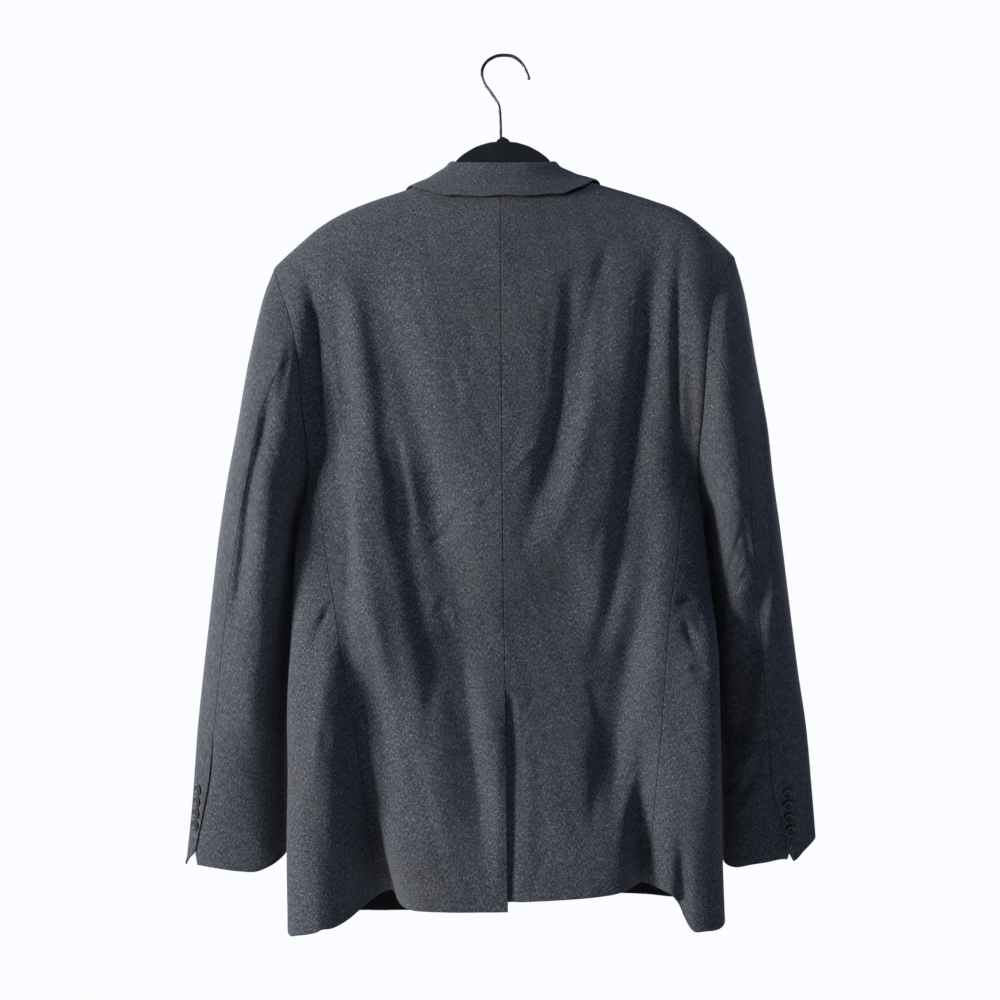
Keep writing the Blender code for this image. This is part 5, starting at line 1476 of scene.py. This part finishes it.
def button_surface(radius, height):
    """The button: its section turned about its axis. Round each of four holes the face sinks as a
    smooth step of the distance from the hole's middle."""
    controls = button_section(radius, height)
    section = fair(np.stack([controls, controls]), BUTTON_ROWS)[0]
    section[0, 0] = section[-1, 0] = 0.0
    section[:, 0] = np.maximum(section[:, 0], 0.0)
    turn = np.linspace(0.0, 2 * math.pi, BUTTON_TURNS, endpoint=False)
    x = section[:, 0, None] * np.cos(turn)
    y = section[:, 0, None] * np.sin(turn)
    z = np.broadcast_to(section[:, 1, None], x.shape).copy()
    upper = (np.arange(BUTTON_ROWS) < BUTTON_FACE_ROWS)[:, None]
    hole = radius * HOLE_SPREAD
    for hole_x, hole_y in ((hole, hole), (hole, -hole), (-hole, hole), (-hole, -hole)):
        away = np.hypot(x - hole_x, y - hole_y) / (radius * HOLE_RADIUS)
        z = z - np.where(upper, height * HOLE_DEPTH * ramp(HOLE_EDGE - away), 0.0)
    return stacked(x, y, z)


def turned_faces(rows, turns):
    """Faces of a surface whose first and last rows are single points: two fans and the cells."""
    ring = np.arange(turns)
    after = (ring + 1) % turns
    first = [(0, 1 + a, 1 + b) for a, b in zip(ring, after)]
    starts = 1 + turns * np.arange(rows - 3)[:, None]
    corners = (starts + ring, starts + turns + ring, starts + turns + after, starts + after)
    cells = stacked(*corners).reshape(-1, 4).tolist()
    base, last = 1 + turns * (rows - 3), 1 + turns * (rows - 2)
    return first + cells + [(last, base + b, base + a) for a, b in zip(ring, after)]


def closed(rings, first, last):
    """Points and faces of a row of rings, whose first and last are drawn to single points."""
    points = np.concatenate([first[None], rings[1:-1].reshape(-1, 3), last[None]])
    return points, turned_faces(*rings.shape[:2])


def tube(path, radius, turns, ends=6):
    """A round tube: a circle carried along a path, square to it, that closes over both ends as a
    half sphere. Returns its points and faces."""
    along = unit(np.gradient(path, axis=0))
    side = np.cross(along, np.array([0.0, 1.0, 0.0]))
    flat = np.linalg.norm(side, axis=-1, keepdims=True) < 0.05  # the path runs nearly along Y
    side = unit(np.where(flat, np.cross(along, np.array([0.0, 0.0, 1.0])), side))
    bend = np.linspace(0.0, math.pi / 2, ends + 1)
    start = path[0] - radius * np.cos(bend)[:, None] * along[0]
    finish = path[-1] + radius * np.sin(bend)[:, None] * along[-1]
    centre = np.concatenate([start, path[1:-1], finish])
    size = np.concatenate([np.sin(bend), np.ones(len(path) - 2), np.cos(bend)]) * radius
    at = np.clip(np.arange(len(centre)) - ends, 0, len(path) - 1)
    side, other = side[at][:, None], np.cross(along, side)[at][:, None]
    turn = np.linspace(0.0, 2 * math.pi, turns, endpoint=False)[None, :, None]
    rings = centre[:, None] + size[:, None, None] * (np.cos(turn) * side + np.sin(turn) * other)
    return closed(rings, centre[0], centre[-1])


def add_button(node, centre, normal, down, radius, height):
    """A button with four holes and two bundles of thread, laid on the cloth at a point."""
    surface = button_surface(radius, height)
    points, faces = closed(surface, surface[0, 0], surface[-1, 0])
    kinds = [0] * len(faces)
    hole = radius * HOLE_SPREAD
    thread = bpy.context.scene.blazer_sizes.thread / MM * radius / THREAD_AT_RADIUS
    t = np.linspace(-1.0, 1.0, THREAD_POINTS)
    for offset in (-hole, hole):
        rise = height * (THREAD_LOW + THREAD_RISE * (1 - t**4))
        path = stacked(hole * THREAD_REACH * t, offset, rise)
        strand, strand_faces = tube(path, thread, THREAD_TURNS, ends=2)
        faces += [tuple(i + len(points) for i in face) for face in strand_faces]
        kinds += [1] * len(strand_faces)
        points = np.concatenate([points, strand])
    across = unit(np.cross(down, normal))
    base = np.stack([across, np.cross(normal, across), normal])
    placed = centre + BUTTON_SEAT * normal + points @ base
    mesh = mesh_from(node + "_resin", placed, faces, material_index=kinds)
    materials = [made_of(resin), made_of(sewing_thread)]
    link_piece(node + "_resin", mesh, materials, [node])


# ---------------------------------------------------------------- hanger


def arm_lines(side):
    """The arm's upper and lower edges, which follow the shoulder line at a fixed distance along its
    normal, and a half circle round its tip."""
    x = np.linspace(ARM_START, HANGER_HALF_WIDTH - HANGER_HEIGHT / 2, ARM_POINTS)
    up = ridge_normal(side, x)[:, [0, 2]]
    centre = smooth(BODY, "centre", HANGER_CENTRE_DROP)
    ridge = stacked(centre + side * x, -on_side(SHOULDER, side, x))
    top = ridge - (CLOTH + HANGER_SEAT) * up
    bottom = top - HANGER_HEIGHT * up
    outwards = np.array([up[-1, 1] * side, -abs(up[-1, 0])])
    middle, half = (top[-1] + bottom[-1]) / 2, HANGER_HEIGHT / 2
    turn = np.radians(np.linspace(TIP_ANGLE, -TIP_ANGLE, TIP_POINTS))[:, None]
    tip = middle + half * (np.sin(turn) * up[-1] + np.cos(turn) * outwards)
    return top, bottom, tip


def hanger_edges(x):
    """Upper and lower edge of the hanger's outline at each X, from its dome, arms and tips."""
    dome_x = np.concatenate([DOME_NECK_X, np.linspace(16.0, 68.0, 40)])
    dome = np.where(dome_x <= DOME_NECK_X[-1], np.interp(dome_x, DOME["x"], DOME["drop"]),
                    smooth(DOME, "drop", dome_x))
    under_x = np.linspace(0.0, UNDERSIDE_HALF, 20)
    under = -UNDERSIDE_DROP - UNDERSIDE_SLOPE * (under_x / UNDERSIDE_HALF) ** 2
    uppers, lowers = [], []
    for side in (RIGHT, LEFT):
        top, bottom, tip = arm_lines(side)
        far = int(np.argmax(side * tip[:, 0]))
        upper = np.concatenate([stacked(side * dome_x, -dome), top, tip[: far + 1]])
        lower = np.concatenate([stacked(side * under_x, under), bottom, tip[:far:-1]])
        uppers.append(upper[::side])
        lowers.append(lower[::side])
    return [np.interp(x, *np.concatenate(edges).T) for edges in (uppers, lowers)]


def hanger_surface():
    """The flocked body: at each station along it, a rounded rectangle between its upper and lower
    edge, carried from tip to tip."""
    half = bpy.context.scene.blazer_sizes.hanger / MM / 2
    tip_left, tip_right = arm_lines(LEFT)[2], arm_lines(RIGHT)[2]
    low, high = tip_right[:, 0].min(), tip_left[:, 0].max()
    even = np.linspace(-1.0, 1.0, HANGER_STATIONS)
    x = (low + high) / 2 + (high - low) / 2 * np.sin(even * math.pi / 2)
    x = np.unique(np.concatenate([x, -HANGER_NECK_X, HANGER_NECK_X]))
    top, bottom = hanger_edges(x)
    top, bottom = np.maximum(top, bottom), np.minimum(top, bottom)
    tall = np.maximum((top - bottom) / 2, 1e-3)
    round_it = np.minimum(half * HANGER_ROUNDNESS, tall)
    quarter = np.arange(4)[:, None] * math.pi / 2
    turn = (np.linspace(0.0, math.pi / 2, HANGER_CORNER) + quarter).ravel()
    right = np.repeat([1.0, -1.0, -1.0, 1.0], HANGER_CORNER)
    upwards = np.repeat([1.0, 1.0, -1.0, -1.0], HANGER_CORNER)
    y = right * (half - np.minimum(round_it, half))[:, None] + round_it[:, None] * np.cos(turn)
    z = ((top + bottom) / 2)[:, None] + upwards * (tall - round_it)[:, None]
    z = z + round_it[:, None] * np.sin(turn)
    return stacked(x[:, None], y, z)


def hook_path():
    """Centre line of the hook's wire, a smooth curve through its table."""
    rows = np.arange(len(HOOK["x"]), dtype=float)
    foot = DOME["drop"][0] - SEAM_GAP
    route = stacked(HOOK["x"], 0.0, -np.minimum(HOOK["drop"], foot))
    return cubic(rows, route, np.linspace(0.0, rows[-1], HOOK_POINTS))


# ---------------------------------------------------------------- materials


def set_inputs(tree, node, inputs):
    """Sets each of a node's inputs, or links it to another node's output."""
    for name, value in inputs.items():
        if isinstance(value, bpy.types.NodeSocket):
            tree.links.new(value, node.inputs[name])
        else:
            node.inputs[name].default_value = value


def add_node(tree, kind, inputs, **settings):
    """Adds a node with its settings and inputs."""
    node = tree.nodes.new(kind)
    for name, value in settings.items():
        setattr(node, name, value)
    set_inputs(tree, node, inputs)
    return node


def made_of(build):
    """The material that a function describes, made at its first use. The function gives the
    inputs of the shader, from the node tree, the Object coordinates and the colours."""
    name, main_colour = MATERIALS[build]
    if name in bpy.data.materials:
        return bpy.data.materials[name]
    colours = bpy.context.scene.blazer_colours
    made = bpy.data.materials.new(name)
    made.use_nodes = True
    made.diffuse_color = (*getattr(colours, main_colour), 1.0)
    tree = made.node_tree
    tree.nodes.clear()
    shader = add_node(tree, "ShaderNodeBsdfPrincipled", {})
    output = add_node(tree, "ShaderNodeOutputMaterial", {"Surface": shader.outputs["BSDF"]})
    output.is_active_output = True
    place = add_node(tree, "ShaderNodeTexCoord", {}).outputs["Object"]
    set_inputs(tree, shader, build(tree, place, colours))
    return made


def mixed(tree, share, first, second):
    """A colour between two colours."""
    first, second = (
        value if isinstance(value, bpy.types.NodeSocket) else (*value, 1.0)
        for value in (first, second)
    )
    inputs = {0: share, 6: first, 7: second}
    return add_node(
        tree, "ShaderNodeMix", inputs, data_type="RGBA", clamp_factor=True).outputs[2]


def mapped(tree, value, low, high, bottom, top, kind="LINEAR"):
    """A value that goes from bottom to top, as another value goes from low to high."""
    return add_node(tree, "ShaderNodeMapRange", {
        "Value": value, "From Min": low, "From Max": high, "To Min": bottom, "To Max": top,
    }, interpolation_type=kind).outputs["Result"]


def stepped(tree, value, low, high, top=1.0):
    """The same from 0 to top, with level ends."""
    return mapped(tree, value, low, high, 0.0, top, "SMOOTHSTEP")


def noise(tree, place, size, detail=2.0, roughness=0.5, distortion=0.0):
    """Noise whose blots are about a size in millimetres across."""
    return add_node(tree, "ShaderNodeTexNoise", {
        "Vector": place, "Scale": 1000.0 / size, "Detail": detail, "Roughness": roughness,
        "Distortion": distortion,
    }, noise_dimensions="3D").outputs["Fac"]


def lines(tree, place, scale, distortion, detail=2.0):
    """Slanting lines, for a twill or a twist."""
    return add_node(tree, "ShaderNodeTexWave", {
        "Vector": place, "Scale": scale, "Distortion": distortion, "Detail": detail,
    }, bands_direction="DIAGONAL").outputs["Fac"]


def bumps(tree, height, strength, distance):
    """Normals of bumps, the highest a distance in metres high."""
    return add_node(tree, "ShaderNodeBump", {
        "Height": height, "Strength": strength, "Distance": distance}).outputs["Normal"]


def summed(tree, *terms):
    """A weighted sum of values, given as (value, weight)."""
    total = 0.0
    for value, weight in terms:
        inputs = {0: value, 1: weight, 2: total}
        total = add_node(tree, "ShaderNodeMath", inputs, operation="MULTIPLY_ADD").outputs[0]
    return total


def wool(tree, place, colours):
    """Brushed wool flannel, woven from mixed dark and pale fibres and raised, so it has no shine,
    a soft pale bloom at grazing angles, and a fine heather of dark and pale threads both ways."""
    grain = add_node(tree, "ShaderNodeUVMap", {}, uv_map="Grain").outputs["UV"]

    def threads(*scale):
        """Fibres drawn out along one way of the weave."""
        drawn = add_node(tree, "ShaderNodeMapping", {"Vector": grain, "Scale": scale})
        return noise(tree, drawn.outputs["Vector"], 0.8, 2.0, 0.6)

    # Fibre blots of 1.3 mm. The yarn, 0.4 mm thick, is too fine to show, so its threads are drawn
    # 0.8 mm apart.
    blots = noise(tree, place, 1.3, 3.0, 0.65)
    clouds = noise(tree, place, 9.0, 3.0, 0.6)
    patches = noise(tree, place, 130.0)
    warp, weft = threads(1.0, 0.2, 1.0), threads(0.22, 1.0, 1.0)
    # Fine twill, 1.6 mm between its lines, only just seen through the nap
    twill = lines(tree, grain, 277.0, 1.4, 1.0)
    fibre = summed(tree, (blots, 0.36), (warp, 0.33), (weft, 0.26), (clouds, 0.05))
    ground = mixed(tree, stepped(tree, fibre, 0.40, 0.54), colours.wool_dark, colours.wool_mid)
    pale = mixed(tree, stepped(tree, fibre, 0.50, 0.62), ground, colours.wool_light)
    tinted = mixed(tree, stepped(tree, patches, 0.5, 0.8, 0.22), pale, colours.wool_tint)
    # Painted shade: where the mark is 1, on the inner face and at edges and seams, the wool is
    # mixed to a near black.
    painted_shade_mark = add_node(tree, "ShaderNodeAttribute", {}, attribute_name="painted_shade_amount").outputs["Fac"]
    height = summed(tree, (blots, 0.6), (warp, 0.4), (weft, 0.4), (twill, 0.10))
    return {
        "Base Color": mixed(tree, painted_shade_mark, tinted, colours.wool_painted_shade),
        "Roughness": 0.95,
        "Specular IOR Level": 0.08,
        "Sheen Weight": 0.05,
        "Sheen Roughness": 0.55,
        "Sheen Tint": (0.72, 0.76, 0.86, 1.0),
        "Normal": bumps(tree, height, 0.75, 0.0009),
    }


def resin(tree, place, colours):
    """Cast polyester resin button, turned and tumbled: a soft gloss with faint horn-like
    streaks."""
    streaks = stepped(tree, noise(tree, place, 3.2, 3.0, 0.6, 1.6), 0.45, 0.72, 0.8)
    scratches = noise(tree, place, 0.6, 2.0, 0.6)
    return {
        "Base Color": mixed(tree, streaks, colours.button, colours.button_streak),
        "Roughness": mapped(tree, scratches, 0.3, 0.7, 0.42, 0.6),
        "IOR": 1.54,
        "Specular IOR Level": 0.3,
    }


def sewing_thread(tree, place, colours):
    """Spun polyester sewing thread: matt, with fine ridges of its twist, 0.5 mm apart."""
    twist = lines(tree, place, 888.0, 0.6)
    pale = stepped(tree, twist, 0.2, 0.9, 0.5)
    return {
        "Base Color": mixed(tree, pale, colours.thread, colours.wool_light),
        "Roughness": 0.8,
        "Normal": bumps(tree, twist, 0.5, 0.0001),
    }


def flock(tree, place, colours):
    """Nylon flock, short fibres stood up in glue on a plastic body: deep black, no gloss, a faint
    bloom at grazing angles, and soft rubbed places."""
    pile = noise(tree, place, 0.8, 2.0, 0.6)
    rubbed = summed(tree, (pile, 0.5), (noise(tree, place, 22.0), 0.5))
    pale = stepped(tree, rubbed, 0.42, 0.66, 0.5)
    return {
        "Base Color": mixed(tree, pale, colours.flock, colours.wool_dark),
        "Roughness": 1.0,
        "Specular IOR Level": 0.1,
        "Sheen Weight": 0.12,
        "Sheen Roughness": 0.4,
        "Normal": bumps(tree, pile, 0.6, 0.0004),
    }


def steel(tree, place, colours):
    """Steel wire with a dark zinc-nickel plate: a satin metal gloss, a little paler where it is
    worn."""
    wear = noise(tree, place, 5.0, 3.0, 0.6)
    return {
        "Base Color": mixed(
            tree, stepped(tree, wear, 0.35, 0.75), colours.wire, colours.wool_light),
        "Roughness": mapped(tree, wear, 0.3, 0.7, 0.24, 0.38),
        "Metallic": 1.0,
    }


def floor_paint(tree, place, colours):
    """Matt painted floor: one pale tone, with a very faint unevenness."""
    darker = tuple(0.97 * value for value in colours.floor)
    return {
        "Base Color": mixed(tree, noise(tree, place, 400.0), colours.floor, darker),
        "Roughness": 0.9,
    }


# The real material's name and its main colour, for each function that describes one
MATERIALS = {
    wool: ("brushed wool flannel", "wool_mid"),
    resin: ("cast polyester resin", "button"),
    sewing_thread: ("spun polyester thread", "thread"),
    flock: ("black nylon flock", "flock"),
    steel: ("dark plated steel wire", "wire"),
    floor_paint: ("matt pale paint", "floor"),
}


# ---------------------------------------------------------------- operators


class BLAZER_OT_hanger(bpy.types.Operator):
    """Makes the flocked hanger and its wire hook."""

    bl_idname = "blazer.hanger"
    bl_label = "Hanger and hook"

    def execute(self, context):
        surface = hanger_surface()
        body = closed(surface, surface[0].mean(axis=0), surface[-1].mean(axis=0))
        mesh = mesh_from("hanger_flock", *body)
        link_piece("hanger_flock", mesh, [made_of(flock)], ["hanger_body"])
        wire = context.scene.blazer_sizes.wire / MM
        mesh = mesh_from("hook_wire", *tube(hook_path(), wire, HOOK_TURNS))
        link_piece("hook_wire", mesh, [made_of(steel)], ["hanger_hook"])
        return {"FINISHED"}


class BLAZER_OT_body(bpy.types.Operator):
    """Makes the two backs, the two side panels and the two fronts."""

    bl_idname = "blazer.body"
    bl_label = "Back, side panels and fronts"

    def execute(self, context):
        for side, label in SIDE_NAMES.items():
            for stem, panel, strokes, facing in (
                ("back", back_panel, BACK_CREASES, 1),
                ("side_panel", side_panel, BACK_CREASES, 1),
                ("front", front_panel, FRONT_CREASES, -1),
            ):
                points, normals = panel(side)
                points = draped(side, points, normals, strokes, facing)
                add_cloth(f"{stem}_{label}", points, normals, stem, ["hanger_flock"])
        return {"FINISHED"}


class BLAZER_OT_sleeves(bpy.types.Operator):
    """Makes the two pieces of each sleeve, with the vent at the cuff."""

    bl_idname = "blazer.sleeves"
    bl_label = "Sleeves"

    def execute(self, context):
        for side, label in SIDE_NAMES.items():
            for stem, on_top in (("sleeve_top", True), ("sleeve_under", False)):
                points, normals = sleeve_piece(side, on_top)
                points = draped(side, points, normals, SLEEVE_CREASES, 1)
                points = draped(side, points, normals, SLEEVE_FRONT_CREASES, -1)
                add_cloth(f"{stem}_{label}", points, normals, stem,
                          [f"back_{label}_wool", f"front_{label}_wool"])
        return {"FINISHED"}


class BLAZER_OT_collar(bpy.types.Operator):
    """Makes the collar and the two lapels."""

    bl_idname = "blazer.collar"
    bl_label = "Collar and lapels"

    def execute(self, context):
        add_cloth("collar", *collar(), "collar", ["back_left_wool", "back_right_wool"])
        for side, label in SIDE_NAMES.items():
            add_cloth(f"lapel_{label}", *lapel(side), "lapel", [f"front_{label}_wool"])
        return {"FINISHED"}


class BLAZER_OT_buttons(bpy.types.Operator):
    """Makes the four buttons of each cuff and the two of the front."""

    bl_idname = "blazer.buttons"
    bl_label = "Buttons"

    def execute(self, context):
        sizes = context.scene.blazer_sizes
        size = sizes.cuff_button / MM, sizes.cuff_button_height / MM
        for side, label in SIDE_NAMES.items():
            for number in range(1, CUFF_BUTTONS + 1):
                node = f"cuff_button_{label}_{number}"
                station, angle = cuff_seat(side, node)
                below = sleeve_point(side, station + 2 * STATION_STEP, angle)
                above = sleeve_point(side, station - 2 * STATION_STEP, angle)
                add_button(node, sleeve_point(side, station, angle),
                           sleeve_normal(side, station, angle), unit(below - above), *size)
        size = sizes.front_button / MM, sizes.front_button_height / MM
        down = np.array([0.0, 0.0, -1.0])
        for number, drop in enumerate(np.array(FRONT_BUTTON_DROPS), start=1):
            girth = girth_of(LEFT, np.array(0.0), drop, -1)
            add_button(f"front_button_{number}", *on_body(LEFT, girth, drop), down, *size)
        return {"FINISHED"}


class BLAZER_OT_stage(bpy.types.Operator):
    """Makes the floor, the soft light and the camera."""

    bl_idname = "blazer.stage"
    bl_label = "Floor, light and camera"

    def execute(self, context):
        scene = context.scene
        turn = np.linspace(0.0, 2 * math.pi, FLOOR_SIDES, endpoint=False)
        ring = stacked(FLOOR_RADIUS * np.cos(turn), FLOOR_RADIUS * np.sin(turn), -FLOOR_DROP)
        mesh = bpy.data.meshes.new("floor")
        mesh.from_pydata(ring.tolist(), [], [tuple(range(FLOOR_SIDES))])
        floor = bpy.data.objects.new("floor", mesh)
        mesh.materials.append(made_of(floor_paint))
        scene.collection.objects.link(floor)
        for name, place, faces, (width, height), colour, power in LIGHTS:
            light = bpy.data.lights.new(name, "AREA")
            light.shape, light.size, light.size_y = "RECTANGLE", width, height
            light.energy, light.color = power, linear(colour)
            lamp = bpy.data.objects.new(name, light)
            lamp.location = place
            lamp.rotation_euler = (Vector(place) - Vector(faces)).to_track_quat("Z", "Y").to_euler()
            lamp.visible_camera = False
            scene.collection.objects.link(lamp)
        world = bpy.data.worlds.new("soft studio")
        world.use_nodes = True
        tree = world.node_tree
        sky = tree.nodes["Background"]
        seen = add_node(tree, "ShaderNodeLightPath", {}).outputs["Is Camera Ray"]
        colour = mixed(tree, seen, linear(ROOM_COLOUR), linear(BACKDROP_COLOUR))
        strength = mapped(tree, seen, 0.0, 1.0, ROOM_STRENGTH, BACKDROP_STRENGTH)
        set_inputs(tree, sky, {"Color": colour, "Strength": strength})
        scene.world = world
        scene.view_settings.view_transform = "Standard"
        lens = bpy.data.cameras.new("camera")
        lens.sensor_width = 36.0
        lens.lens = CAMERA_LENS
        camera = bpy.data.objects.new("camera", lens)
        camera.location = CAMERA_PLACE
        camera.rotation_euler = (math.pi / 2, 0.0, math.pi)
        scene.collection.objects.link(camera)
        scene.camera = camera
        return {"FINISHED"}


OPERATORS = (
    BLAZER_OT_hanger, BLAZER_OT_body, BLAZER_OT_sleeves, BLAZER_OT_collar, BLAZER_OT_buttons,
    BLAZER_OT_stage,
)


class BLAZER_PT_panel(bpy.types.Panel):
    """Lists the jacket's pieces, sizes and colours."""

    bl_idname = "BLAZER_PT_panel"
    bl_label = "Single Breasted Blazer"
    bl_space_type = "VIEW_3D"
    bl_region_type = "UI"
    bl_category = "Blazer"

    def draw(self, context):
        for operator in OPERATORS:
            self.layout.operator(operator.bl_idname)
        for group in (context.scene.blazer_sizes, context.scene.blazer_colours):
            column = self.layout.column(align=True)
            for name in group.__annotations__:
                column.prop(group, name)


CLASSES = (BlazerSizes, BlazerColours, *OPERATORS, BLAZER_PT_panel)


def register():
    for item in CLASSES:
        bpy.utils.register_class(item)
    bpy.types.Scene.blazer_sizes = PointerProperty(type=BlazerSizes)
    bpy.types.Scene.blazer_colours = PointerProperty(type=BlazerColours)


def unregister():
    del bpy.types.Scene.blazer_colours
    del bpy.types.Scene.blazer_sizes
    for item in reversed(CLASSES):
        bpy.utils.unregister_class(item)


def main():
    register()
    for operator in OPERATORS:
        group, name = operator.bl_idname.split(".")
        getattr(getattr(bpy.ops, group), name)()


if __name__ == "__main__":
    main()
